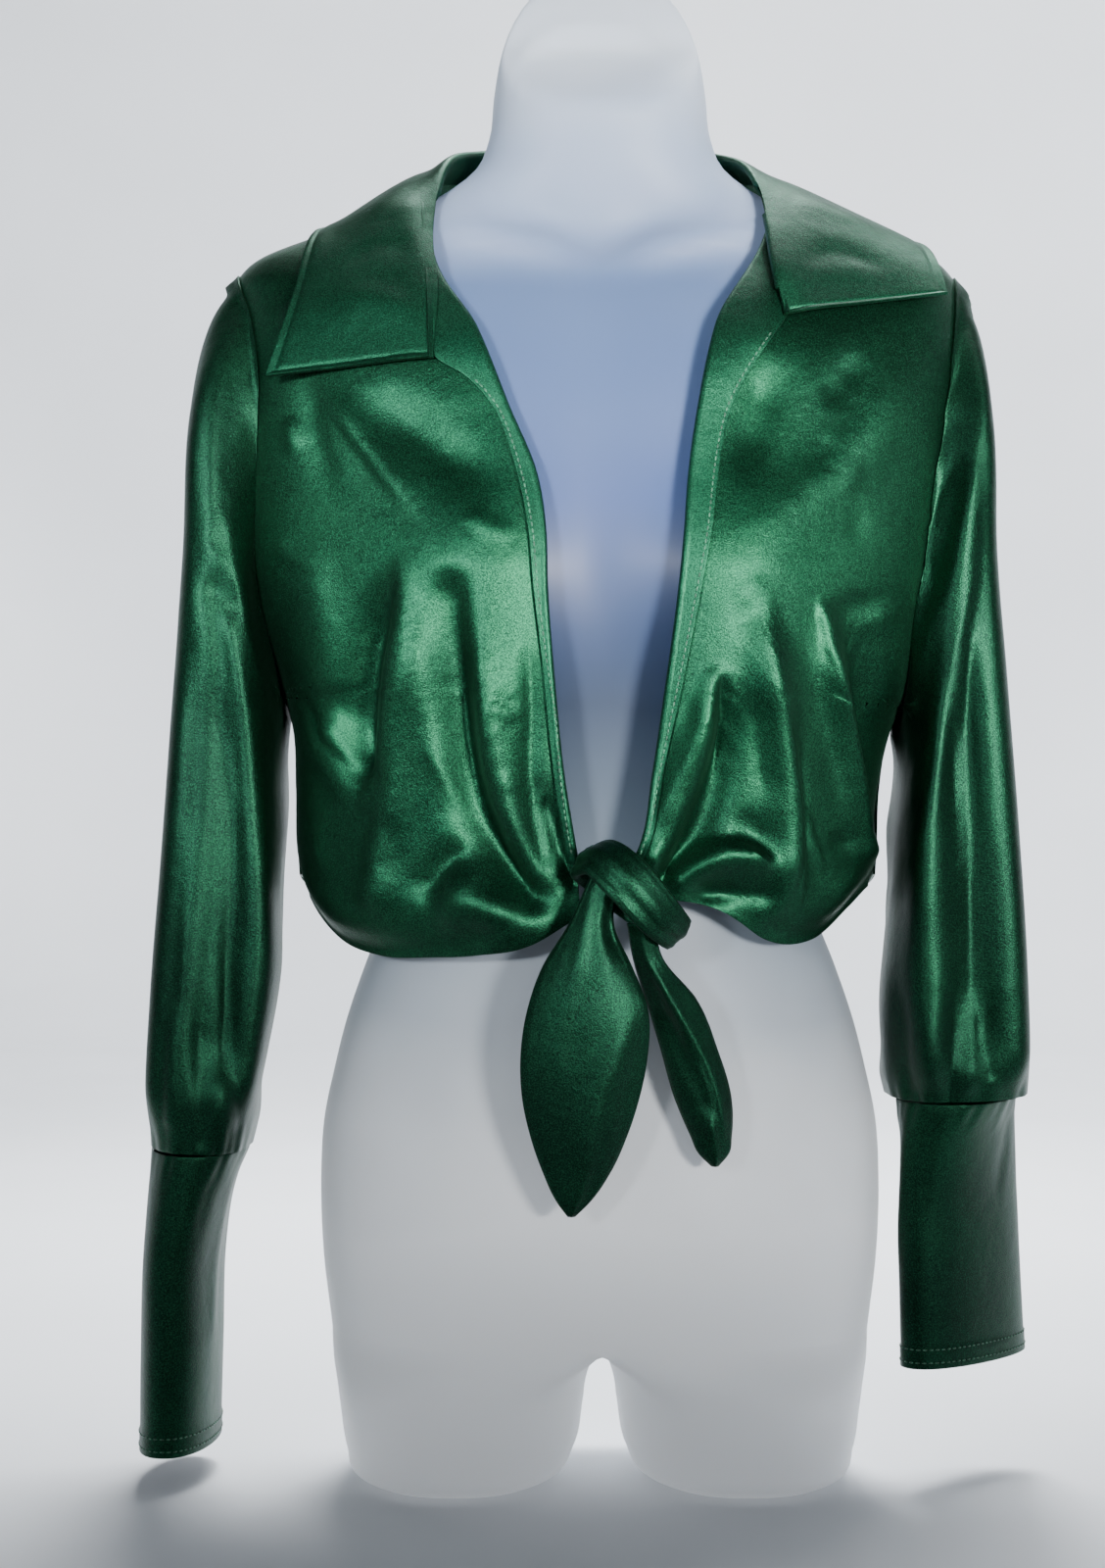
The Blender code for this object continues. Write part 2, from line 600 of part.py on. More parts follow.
def fold_rise(folds, x, z):
    """The sum of the folds' rises at a point seen from the front or back."""
    total = 0.0
    steps = np.linspace(0, 1, 13)
    for k in range(len(folds["side"])):
        if folds["side"][k] * x < -0.02:
            continue
        a, b, c = (np.array((folds[f"x{i}"][k], folds[f"z{i}"][k])) for i in range(3))
        line = (
            np.outer((1 - steps) ** 2, a) + np.outer(2 * steps * (1 - steps), b) + np.outer(steps**2, c)
        )
        away = np.hypot(line[:, 0] - x, line[:, 1] - z)
        near = int(away.argmin())
        fade = ease(steps[near] / 0.35) if steps[near] < 0.35 else 1.0
        total += folds["rise"][k] * fade * math.exp(-((away[near] / folds["width"][k]) ** 2))
    return total


def front_place(side):
    """Where the front's sheet runs: u from the armhole and side seam to the free edge, v down
    from the shoulder seam to the hem."""
    name = SIDE[side]
    ridge_out = bodice_width(side, SHOULDER_HEIGHT[side])
    ridge_in = bodice_width(side, NECK_POINT_HEIGHT)
    seam_angle = SEAM_GAP / 0.16

    def place(u, v):
        v = v ** 1.25
        ridge_x = mix(ridge_out, ridge_in, u)
        top = ridge_height(side, ridge_x)
        hem = read(FRONT_HEM, name, u)
        height = mix(top, hem, v)
        edge_x = read(FRONT_EDGE, name, height)
        arm = armhole_angle(side, height, "front")
        by_angle = mix(arm, angle_at(side, height, edge_x), u)
        arm_x = bodice_width(side, height) * rounded(arm, BODICE_ROUNDNESS)[0]
        straight_x = mix(arm_x, edge_x, u)
        x = mix(ridge_x, straight_x, ease(v / 0.22))
        by_x = angle_at(side, height, min(x, bodice_width(side, height)))
        angle = mix(by_x, by_angle, ease((0.62 - height) / 0.08))
        p = bodice_point(side, height, max(angle, seam_angle))
        out = Vector((side * math.cos(angle), -math.sin(angle), 0.0))
        p += out * fold_rise(FRONT_FOLDS, p.x, p.z)
        roll = ease(1 - (height - hem) / HEM_ROLL_HEIGHT) ** 2
        p -= out * HEM_ROLL_IN * roll * math.sin(math.pi * min(max(u * 1.1, 0.12), 0.97))
        return p

    return place


def back_place(u, v):
    """Where the back's sheet runs: u from the right side seam to the left, v down to the hem."""
    side = RIGHT if u < 0.5 else LEFT
    middle = abs(u - 0.5) * 2
    ridge_out = bodice_width(side, SHOULDER_HEIGHT[side])
    ridge_in = bodice_width(side, NECK_POINT_HEIGHT)
    v = v ** 1.25
    ridge_x = mix(ridge_in, ridge_out, max(middle - 0.3, 0.0) / 0.7)
    top = ridge_height(side, ridge_x)
    height = mix(top, BACK_HEM_HEIGHT + 0.012 * middle**2, v)
    arm = armhole_angle(side, height, "back")
    by_angle = mix(math.pi / 2, arm, middle)
    start = mix(math.pi / 2, 0.0, min(middle / 0.3, 1.0))
    angle = mix(start, by_angle, ease(v / 0.2))
    angle = max(angle, SEAM_GAP / 0.16)
    p = bodice_point(side, height, -angle)
    out = Vector((side * math.cos(angle), math.sin(angle), 0.0))
    return p + out * fold_rise(BACK_FOLDS, p.x, p.z)


def make_body(form_tree, finish, stand):
    """Both fronts and the back, laid on the form; returns a search tree of their outer skins."""
    sheets = {}
    for side in (RIGHT, LEFT):
        sheets[f"front_{SIDE[side]}"] = sheet(FRONT_STEPS, front_place(side))
    sheets["back"] = sheet(BACK_STEPS, back_place)
    inside = Vector((0.0, 0.0, 0.45))
    skins = []
    for name, bm in sheets.items():
        lift_off(bm.verts, form_tree, REST_GAP)
        skins.append(wall(bm, CLOTH, inside))
        add_object(name, bm, finish, stand)
    return tree_of(*skins)


def on_front(tree, x, z, lift):
    """The point on the blouse's front at (x, z), moved forward by lift."""
    hit = tree.ray_cast(Vector((x, -0.4, z)), Vector((0, 1, 0)))[0]
    if hit is None or hit.y > 0:
        hit = tree.find_nearest(Vector((x, -0.08, z)))[0]
    return Vector((x, hit.y - lift, z))


def make_lapels(tree, finish, stand):
    """The turned-back strip down each free edge, lying on its front."""
    for side in (RIGHT, LEFT):
        name = SIDE[side]

        def place(u, v, side=side, name=name):
            outer_top, inner_top = LAPEL_TOP[side]
            height = mix(mix(inner_top, outer_top, u), LAPEL_BOTTOM[side], v)
            fold_x = read(FRONT_EDGE, name, height) + 0.0016
            outer_x = max(read(LAPEL_EDGE, name, height), fold_x + 0.003)
            x = side * mix(fold_x, outer_x, u)
            return on_front(tree, x, height, mix(*LAPEL_LIFT, u))

        bm = sheet(LAPEL_STEPS, place)
        wall(bm, CLOTH, Vector((side * 0.05, 0.5, 0.5)))
        add_object(f"lapel_{name}", bm, finish, stand)


def collar_place(u, v):
    """u runs round the neck from corner to corner; v from the neck seam over the roll to the edge."""
    seam, roll, edge = (
        Vector([read(COLLAR, f"{where}{axis}", u) for axis in "xyz"]) for where in "sre"
    )
    if v < COLLAR_STAND:
        t = v / COLLAR_STAND
        return seam.lerp(roll, math.sin(t * math.pi / 2))
    t = (v - COLLAR_STAND) / (1 - COLLAR_STAND)
    rise = 0.010 * math.sin(math.pi * t ** 0.6) * ease(min(u, 1 - u) / 0.2)
    return roll.lerp(edge, t) + Vector((0, 0, rise))


def make_collar(body_tree, form_tree, finish, stand):
    bm = sheet(COLLAR_STEPS, collar_place)
    verts = list(bm.verts)
    rise = (COLLAR_STEPS[0] + 1) * (1 + int(COLLAR_STAND * COLLAR_STEPS[1]))
    for _ in range(COLLAR_SETTLING):
        relax(bm, 0.3)
        lift_off(verts, form_tree, 0.003)
        lift_off(verts[:rise], body_tree, COLLAR_STAND_CLEAR)
        lift_off(verts[rise:], body_tree, COLLAR_CLEAR)
    wall(bm, COLLAR_WALL, Vector((0.0, 0.0, 0.50)))
    add_object("collar", bm, finish, stand)


# Sleeves and cuffs.


def armhole_point(side, height, face):
    """A point of the armhole seam, on the body."""
    sign = 1 if face == "front" else -1
    return bodice_point(side, height, sign * armhole_angle(side, height, face))


def sleeve_fold(side, turn_degrees, down):
    total = 0.0
    for k in range(len(SLEEVE_FOLDS["side"])):
        if SLEEVE_FOLDS["side"][k] != side:
            continue
        start, end = SLEEVE_FOLDS["start"][k], SLEEVE_FOLDS["end"][k]
        fade = ease((down - start) / 0.2) * ease((end - down) / 0.1)
        middle = SLEEVE_FOLDS["angle"][k] + SLEEVE_FOLDS["turn"][k] * down
        away = (turn_degrees - middle + 180) % 360 - 180
        total += SLEEVE_FOLDS["rise"][k] * fade * math.exp(-((away / SLEEVE_FOLDS["width"][k]) ** 2))
    return total


def sleeve_place(side):
    """Where a sleeve runs: u round it from its outer line by the front, v down to the cuff."""
    sizes = SLEEVE[side]

    def ring(turn, down):
        outer = Vector((read(sizes, "ox", down), 0.0, read(sizes, "oz", down)))
        inner = Vector((read(sizes, "ix", down), 0.0, read(sizes, "iz", down)))
        across, deep = rounded(turn, SLEEVE_ROUNDNESS)
        reach = read(sizes, "front" if deep > 0 else "back", down)
        return (outer + inner) / 2 + (outer - inner) / 2 * across + Vector((0, -reach * deep, 0))

    def place(u, v):
        turn = 2 * math.pi * u
        down = max(v, 0.0)
        p = ring(turn, down)
        top, bottom = SHOULDER_HEIGHT[side] - 0.0005, UNDERARM_HEIGHT[side] + 0.0005
        height = min(max(ring(turn, 0.0).z, bottom), top)
        seam = armhole_point(side, height, "front" if math.sin(turn) > 0 else "back")
        deep = rounded(turn, SLEEVE_ROUNDNESS)[1]
        seam.y = -math.copysign(max(abs(seam.y), ARMHOLE_OPEN * abs(deep)), deep)
        p += (seam + Vector((side * SLEEVE_START, 0, 0)) - ring(turn, 0.0)) * (1 - ease(down / 0.16))
        centre = (Vector((read(sizes, "ox", down), 0, 0)) + Vector((read(sizes, "ix", down), 0, 0))) / 2
        out = Vector((p.x - centre.x, p.y, 0.0)).normalized()
        return p + out * sleeve_fold(side, math.degrees(turn), down)

    return place


def cuff_place(side):
    sizes = CUFF[side]
    low, high = sizes["height"][0], sizes["height"][-1]

    def place(u, v):
        height = mix(high, low, v)
        across, deep = rounded(2 * math.pi * u, 2.2)
        turn = math.radians(read(sizes, "turn", height))
        a, b = read(sizes, "long", height) * across, read(sizes, "short", height) * deep
        x = read(sizes, "cx", height) + a * math.cos(turn) - b * math.sin(turn)
        y = read(sizes, "cy", height) + a * math.sin(turn) + b * math.cos(turn)
        return Vector((x, y, height))

    return place


def make_sleeves(body_tree, finish, stand):
    for side in (RIGHT, LEFT):
        name = SIDE[side]
        bm = sheet(SLEEVE_STEPS, sleeve_place(side), closed=True)
        for _ in range(2):
            lift_off(bm.verts, body_tree, CLOTH + SLEEVE_CLEAR)
        wall(bm, CLOTH, Vector((side * 0.19, 0.0, 0.36)))
        add_object(f"sleeve_{name}", bm, finish, stand)
        bm = sheet(CUFF_STEPS, cuff_place(side), closed=True)
        wall(bm, CLOTH, Vector((side * 0.21, 0.0, 0.12)))
        add_object(f"cuff_{name}", bm, finish, stand)


# The tie.


def tube(steps, place, capped=True):
    """A closed skin of rings that place(u, v) sets: u round it, v along it. Uncapped, it joins
    its last ring to its first."""
    around, along = steps
    rows = along + 1 if capped else along
    bm = bmesh.new()
    rings = [[bm.verts.new(place(i / around, j / along)) for i in range(around)] for j in range(rows)]
    for j in range(along):
        for i in range(around):
            k, m = (i + 1) % around, (j + 1) % rows
            bm.faces.new((rings[j][i], rings[j][k], rings[m][k], rings[m][i]))
    if capped:
        bm.faces.new(rings[0])
        bm.faces.new(reversed(rings[-1]))
    bmesh.ops.recalc_face_normals(bm, faces=bm.faces)
    return bm


def tail_place(side):
    """A tie end: a leaf of doubled cloth, thick where it is gathered, with one soft ridge."""
    sizes = TAIL[side]
    low, high = sizes["height"][0], sizes["height"][-1]

    def place(u, v):
        height = mix(high, low, v)
        across, deep = rounded(2 * math.pi * u, 2.4)
        x = read(sizes, "centre", height) + read(sizes, "width", height) * across
        away = (across - read(sizes, "ridge", height)) / TAIL_RIDGE_WIDTH
        y = read(sizes, "front", height) + read(sizes, "bow", height) * across * across
        y -= TAIL_RIDGE * math.exp(-away * away) * min(1.0, read(sizes, "width", height) / 0.02)
        return Vector((x, y - read(sizes, "thick", height) * deep, height))

    return place


def knot_place(u, v):
    """The band of one tie end, wrapped once round the other: a flat ring of soft section."""

    def centre(t):
        return Vector([read(KNOT, axis, t % 1.0) for axis in "xyz"])

    middle = sum((centre(t / 8) for t in range(8)), Vector()) / 8
    here = centre(v)
    along = (centre(v + 0.01) - centre(v - 0.01)).normalized()
    out = (here - middle).normalized()
    side = along.cross(out).normalized()
    across, deep = rounded(2 * math.pi * u, 2.4)
    thick = read(KNOT, "thick", v % 1.0) * (1 + KNOT_GROOVE * math.cos(5 * across) * max(deep, 0.0))
    return here + side * read(KNOT, "wide", v % 1.0) * across + out * thick * deep


def make_tie(finish, stand):
    for side in (RIGHT, LEFT):
        add_object(f"tie_end_{SIDE[side]}", tube(TAIL_STEPS, tail_place(side)), finish, stand)
    add_object("tie_knot", tube(KNOT_STEPS, knot_place, capped=False), finish, stand)


def main():
    clear_scene()
    satin = material("emerald satin", (0.010, 0.160, 0.060), 0.32, 0.35)
    plastic = material("frosted plastic", (0.78, 0.80, 0.84), 0.45)
    stand = bpy.data.objects.new("stand", None)
    bpy.context.scene.collection.objects.link(stand)
    stand.location = PLACE
    form = make_form(plastic, stand)
    form_tree = tree_of_object(form)
    body_tree = make_body(form_tree, satin, stand)
    make_lapels(body_tree, satin, stand)
    make_collar(body_tree, form_tree, satin, stand)
    make_sleeves(body_tree, satin, stand)
    make_tie(satin, stand)


main()
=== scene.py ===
"""The dressed look of a satin tie-front crop top on a frosted torso form.

Metres, +Z up, the wearer faces -Y.  Each piece of cloth is a fine grid, placed by the same
sizes as its solid, with the smaller creases added and its own thin wall.  "Right" and "left"
are the wearer's own sides.
"""

import math

import bmesh
import bpy
import numpy as np
from mathutils import Matrix, Vector
from mathutils.bvhtree import BVHTree


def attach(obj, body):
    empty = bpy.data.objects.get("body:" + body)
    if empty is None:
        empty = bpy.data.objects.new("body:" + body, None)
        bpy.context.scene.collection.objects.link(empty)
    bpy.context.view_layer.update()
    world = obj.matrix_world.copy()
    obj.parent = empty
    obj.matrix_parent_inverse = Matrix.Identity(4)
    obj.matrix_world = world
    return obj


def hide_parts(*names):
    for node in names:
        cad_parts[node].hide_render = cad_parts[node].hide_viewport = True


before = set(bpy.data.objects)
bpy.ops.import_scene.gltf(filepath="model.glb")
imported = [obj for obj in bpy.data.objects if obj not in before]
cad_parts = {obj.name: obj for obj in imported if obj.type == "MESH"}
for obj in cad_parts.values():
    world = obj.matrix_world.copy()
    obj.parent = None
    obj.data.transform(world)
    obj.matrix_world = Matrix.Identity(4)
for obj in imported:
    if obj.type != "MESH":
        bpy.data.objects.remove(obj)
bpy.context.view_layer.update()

# The solids' own sizes, in metres.
CLOTH = 0.0015
SATIN = 0.0011
COLLAR_WALL = 0.0018
SEAM_GAP = 0.0004
REST_GAP = 0.0006
PLACE = np.array((0.0061, 0.0198, 0.0))
CROTCH_HEIGHT = 0.080
NECK_POINT_HEIGHT = 0.677
RIGHT, LEFT = -1, 1

# How finely each piece is drawn.
FORM_STEPS = (56, 150, 24, 24)
FRONT_STEPS = (130, 170)
BACK_STEPS = (170, 130)
SLEEVE_STEPS = (150, 150)
CUFF_STEPS = (120, 60)
COLLAR_STEPS = (210, 64)
COLLAR_COARSE = (28, 8)
LAPEL_STEPS = (26, 170)
TAIL_STEPS = (64, 90)
KNOT_STEPS = (48, 120)

# What each kind of piece's UV map measures across and down, in metres of cloth.
CUT = {
    "front": (0.24, 0.36), "back": (0.48, 0.36), "lapel": (0.03, 0.30), "collar": (0.50, 0.11),
    "sleeve": (0.30, 0.46), "cuff": (0.20, 0.16), "tie_end": (0.13, 0.17), "tie_knot": (0.05, 0.12),
}
WHOLE = (1.0, 1.0)


def table(columns, *rows):
    """A table of sizes with named columns. The first column is what the others are read by."""
    names = columns.split()
    return {"by": names[0], **{n: np.array([r[i] for r in rows]) for i, n in enumerate(names)}}


def curve(a, b, slope_a, slope_b, t, step=1.0):
    """A smooth curve from a to b with a slope at each, at the share t of the step between them."""
    return (
        a * (1 + 2 * t) * (1 - t) ** 2
        + b * t * t * (3 - 2 * t)
        + step * (slope_a * t * (1 - t) ** 2 - slope_b * t * t * (1 - t))
    )


def read(sizes, column, at):
    """A column's values on the smooth curve through the table's rows, held at its ends."""
    xs, ys = sizes[sizes["by"]], sizes[column]
    slopes = np.gradient(ys, xs)
    at = np.clip(at, xs[0], xs[-1])
    i = np.clip(np.searchsorted(xs, at) - 1, 0, len(xs) - 2)
    step = xs[i + 1] - xs[i]
    return curve(ys[i], ys[i + 1], slopes[i], slopes[i + 1], (at - xs[i]) / step, step)


def mix(a, b, t):
    return a + (b - a) * t


def ease(t):
    t = np.clip(t, 0.0, 1.0)
    return t * t * (3 - 2 * t)


def stack(x, y, z):
    """Points from their three columns."""
    return np.stack(np.broadcast_arrays(x, y, z), axis=-1).astype(float)


# The torso form: half its width, and its depth before and behind the side line.
FORM = table(
    "height width front back",
    (0.080, 0.1415, 0.084, 0.088),
    (0.120, 0.1462, 0.088, 0.096),
    (0.158, 0.1475, 0.089, 0.100),
    (0.192, 0.1455, 0.086, 0.098),
    (0.216, 0.1405, 0.083, 0.094),
    (0.242, 0.1340, 0.080, 0.088),
    (0.270, 0.1245, 0.077, 0.080),
    (0.300, 0.1130, 0.074, 0.071),
    (0.335, 0.1060, 0.073, 0.066),
    (0.370, 0.1070, 0.076, 0.068),
    (0.410, 0.1140, 0.082, 0.074),
    (0.450, 0.1250, 0.089, 0.081),
    (0.490, 0.1380, 0.091, 0.087),
    (0.530, 0.1530, 0.088, 0.090),
    (0.565, 0.1660, 0.081, 0.087),
    (0.595, 0.1740, 0.069, 0.079),
    (0.618, 0.1745, 0.056, 0.069),
    (0.633, 0.1690, 0.046, 0.059),
    (0.6445, 0.1565, 0.040, 0.051),
    (0.6530, 0.1375, 0.037, 0.048),
    (0.6613, 0.1185, 0.036, 0.047),
    (0.6685, 0.1005, 0.036, 0.047),
    (0.677, 0.0840, 0.037, 0.047),
    (0.690, 0.0665, 0.039, 0.045),
    (0.706, 0.0590, 0.040, 0.042),
    (0.730, 0.0560, 0.040, 0.034),
    (0.752, 0.0520, 0.038, 0.022),
    (0.770, 0.0450, 0.036, 0.013),
    (0.784, 0.0345, 0.034, 0.011),
    (0.793, 0.0220, 0.030, 0.010),
    (0.797, 0.0120, 0.020, 0.009),
)
FORM_ROUNDNESS = 2.25
BUST_ACROSS, BUST_HEIGHT, BUST_RISE = 0.066, 0.470, 0.018
BUST_SPREAD, BUST_SPREAD_UP, BUST_SPREAD_DOWN = 0.042, 0.045, 0.040
TAB_THICKNESS, TAB_HEIGHT, TAB_SLOPE = 0.006, 0.755, 0.95

# Each thigh's stub below the crotch.
THIGH = table(
    "height centre width inner front back",
    (0.000, 0.0760, 0.0440, 0.0440, 0.052, 0.056),
    (0.005, 0.0765, 0.0520, 0.0545, 0.066, 0.070),
    (0.018, 0.0765, 0.0570, 0.0630, 0.074, 0.079),
    (0.040, 0.0755, 0.0615, 0.0665, 0.079, 0.084),
    (0.064, 0.0735, 0.0665, 0.0672, 0.083, 0.087),
)

# The blouse's body, worn: half widths on each side and depths at each height.
BODICE = table(
    "height right left front back",
    (0.270, 0.1480, 0.1410, 0.097, 0.090),
    (0.300, 0.1560, 0.1440, 0.098, 0.092),
    (0.330, 0.1590, 0.1460, 0.098, 0.093),
    (0.365, 0.1595, 0.1475, 0.099, 0.093),
    (0.395, 0.1610, 0.1530, 0.100, 0.093),
    (0.420, 0.1680, 0.1640, 0.101, 0.093),
    (0.450, 0.1800, 0.1720, 0.100, 0.093),
    (0.480, 0.1880, 0.1790, 0.099, 0.094),
    (0.510, 0.1900, 0.1840, 0.098, 0.095),
    (0.545, 0.1905, 0.1890, 0.095, 0.096),
    (0.575, 0.1910, 0.1915, 0.089, 0.093),
    (0.600, 0.1915, 0.1915, 0.079, 0.086),
    (0.618, 0.1915, 0.1900, 0.068, 0.076),
    (0.632, 0.1905, 0.1860, 0.057, 0.067),
    (0.643, 0.1780, 0.1740, 0.049, 0.060),
    (0.651, 0.1580, 0.1560, 0.044, 0.055),
    (0.659, 0.1340, 0.1330, 0.042, 0.052),
    (0.667, 0.1110, 0.1110, 0.041, 0.051),
    (0.677, 0.0890, 0.0890, 0.041, 0.050),
)
BODICE_ROUNDNESS = 2.4
DRAPE_SPREAD, DRAPE_SPREAD_UP, DRAPE_SPREAD_DOWN = 0.052, 0.050, 0.130

# Where each front's free edge and its armhole seam run, across from the centre line.
FRONT_EDGE = table(
    "height right left",
    (0.290, 0.0110, 0.0115),
    (0.322, 0.0128, 0.0135),
    (0.335, 0.0150, 0.0190),
    (0.371, 0.0208, 0.0258),
    (0.414, 0.0252, 0.0320),
    (0.463, 0.0289, 0.0385),
    (0.493, 0.0299, 0.0415),
    (0.518, 0.0338, 0.0435),
    (0.555, 0.0485, 0.0490),
    (0.597, 0.0647, 0.0580),
    (0.637, 0.0830, 0.0705),
    (0.660, 0.0870, 0.0790),
    (0.677, 0.0885, 0.0885),
)
ARMHOLE = table(
    "height right_front left_front right_back left_back",
    (0.413, 0.1650, 0.1585, 0.1650, 0.1585),
    (0.448, 0.1730, 0.1600, 0.1720, 0.1640),
    (0.475, 0.1785, 0.1640, 0.1740, 0.1690),
    (0.507, 0.1780, 0.1690, 0.1740, 0.1720),
    (0.547, 0.1765, 0.1750, 0.1750, 0.1750),
    (0.573, 0.1750, 0.1785, 0.1770, 0.1780),
    (0.605, 0.1800, 0.1830, 0.1820, 0.1820),
    (0.634, 0.1900, 0.1860, 0.1900, 0.1860),
)
SHOULDER_HEIGHT = {RIGHT: 0.634, LEFT: 0.632}
UNDERARM_HEIGHT = {RIGHT: 0.413, LEFT: 0.400}
SIDE = {RIGHT: "right", LEFT: "left"}

# The hem's height across each front, from the side seam (0) to the free edge (1).
FRONT_HEM = table(
    "across right left",
    (0.00, 0.328, 0.314),
    (0.12, 0.305, 0.312),
    (0.25, 0.288, 0.303),
    (0.45, 0.279, 0.287),
    (0.65, 0.279, 0.288),
    (0.80, 0.281, 0.303),
    (0.92, 0.287, 0.309),
    (1.00, 0.300, 0.311),
)
BACK_HEM_HEIGHT = 0.300
HEM_ROLL_HEIGHT, HEM_ROLL_IN = 0.030, 0.012

# The largest folds of each front, drawn from the front: where each starts, bends and ends,
# how wide it is and how far it stands out (or in, below zero).
FRONT_FOLDS = table(
    "side x0 z0 x1 z1 x2 z2 width rise",
    (RIGHT, -0.0758, 0.476, -0.0820, 0.365, -0.0340, 0.312, 0.010, -0.0085),
    (RIGHT, -0.0540, 0.440, -0.0560, 0.360, -0.0320, 0.315, 0.009, 0.0060),
    (RIGHT, -0.1014, 0.481, -0.1330, 0.410, -0.1174, 0.364, 0.009, -0.0070),
    (RIGHT, -0.0960, 0.465, -0.0960, 0.390, -0.1120, 0.312, 0.010, 0.0060),
    (RIGHT, -0.1440, 0.406, -0.1320, 0.381, -0.1174, 0.362, 0.008, 0.0060),
    (RIGHT, -0.0300, 0.372, -0.0320, 0.345, -0.0148, 0.317, 0.005, -0.0050),
    (RIGHT, -0.0800, 0.330, -0.0620, 0.298, -0.0380, 0.300, 0.013, 0.0060),
    (LEFT, 0.0577, 0.428, 0.0480, 0.372, 0.0235, 0.325, 0.007, 0.0075),
    (LEFT, 0.0610, 0.422, 0.0680, 0.355, 0.0290, 0.315, 0.007, -0.0090),
    (LEFT, 0.0795, 0.455, 0.0880, 0.390, 0.0905, 0.320, 0.010, 0.0065),
    (LEFT, 0.0900, 0.319, 0.0600, 0.342, 0.0290, 0.312, 0.006, 0.0075),
    (LEFT, 0.0400, 0.309, 0.0600, 0.313, 0.0820, 0.311, 0.005, -0.0040),
    (LEFT, 0.1065, 0.451, 0.1200, 0.395, 0.1350, 0.333, 0.007, 0.0055),
    (LEFT, 0.1290, 0.450, 0.1360, 0.400, 0.1400, 0.345, 0.009, -0.0050),
)
BACK_FOLDS = table(
    "side x0 z0 x1 z1 x2 z2 width rise",
    (LEFT, 0.060, 0.540, 0.070, 0.430, 0.066, 0.310, 0.016, 0.0050),
    (LEFT, 0.110, 0.500, 0.100, 0.420, 0.104, 0.320, 0.014, -0.0040),
    (RIGHT, -0.064, 0.550, -0.072, 0.430, -0.060, 0.310, 0.016, 0.0050),
    (RIGHT, -0.112, 0.500, -0.106, 0.420, -0.100, 0.320, 0.014, -0.0040),
    (LEFT, 0.008, 0.500, -0.004, 0.420, 0.000, 0.310, 0.018, 0.0040),
)

# Each turned-back front edge: from the fold to its stitched outer edge.
LAPEL_EDGE = table(
    "height right left",
    (0.325, 0.0166, 0.0182),
    (0.350, 0.0208, 0.0262),
    (0.375, 0.0238, 0.0305),
    (0.395, 0.0252, 0.0345),
    (0.424, 0.0295, 0.0405),
    (0.463, 0.0345, 0.0480),
    (0.493, 0.0372, 0.0535),
    (0.514, 0.0410, 0.0560),
    (0.534, 0.0465, 0.0590),
    (0.556, 0.0560, 0.0650),
    (0.570, 0.0690, 0.0720),
    (0.579, 0.0830, 0.0775),
    (0.590, 0.0840, 0.0850),
    (0.602, 0.0850, 0.0930),
    (0.625, 0.0900, 0.0950),
    (0.655, 0.0930, 0.0960),
)

# The collar, from the wearer's right corner round the neck to the left one: the neck seam,
# the roll where it turns over, and the outer edge.
COLLAR = table(
    "along sx sy sz rx ry rz ex ey ez",
    (0.00, -0.0856, -0.0850, 0.5785, -0.0858, -0.0860, 0.5790, -0.1702, -0.0680, 0.5718),
    (0.10, -0.0870, -0.0640, 0.6120, -0.0830, -0.0690, 0.6150, -0.1600, -0.0570, 0.6060),
    (0.19, -0.0908, -0.0392, 0.6496, -0.0868, -0.0440, 0.6500, -0.1510, -0.0370, 0.6380),
    (0.28, -0.0880, -0.0020, 0.6835, -0.0805, -0.0080, 0.6880, -0.1440, 0.0020, 0.6610),
    (0.37, -0.0640, 0.0370, 0.6860, -0.0600, 0.0330, 0.7020, -0.1180, 0.0620, 0.6520),
    (0.50, 0.0000, 0.0560, 0.6880, 0.0000, 0.0600, 0.7140, 0.0000, 0.0960, 0.6450),
    (0.63, 0.0640, 0.0370, 0.6860, 0.0590, 0.0330, 0.7010, 0.1180, 0.0660, 0.6520),
    (0.72, 0.0865, -0.0020, 0.6805, 0.0775, -0.0080, 0.6855, 0.1540, 0.0260, 0.6550),
    (0.81, 0.0880, -0.0360, 0.6520, 0.0855, -0.0400, 0.6600, 0.1695, -0.0060, 0.6525),
    (0.90, 0.0900, -0.0600, 0.6240, 0.0885, -0.0640, 0.6300, 0.1745, -0.0315, 0.6370),
    (1.00, 0.0930, -0.0740, 0.6020, 0.0932, -0.0750, 0.6025, 0.1780, -0.0460, 0.6175),
)
COLLAR_CLEAR, COLLAR_STAND_CLEAR = 0.0017, 0.0050
COLLAR_STAND = 0.26
COLLAR_SETTLING = 6

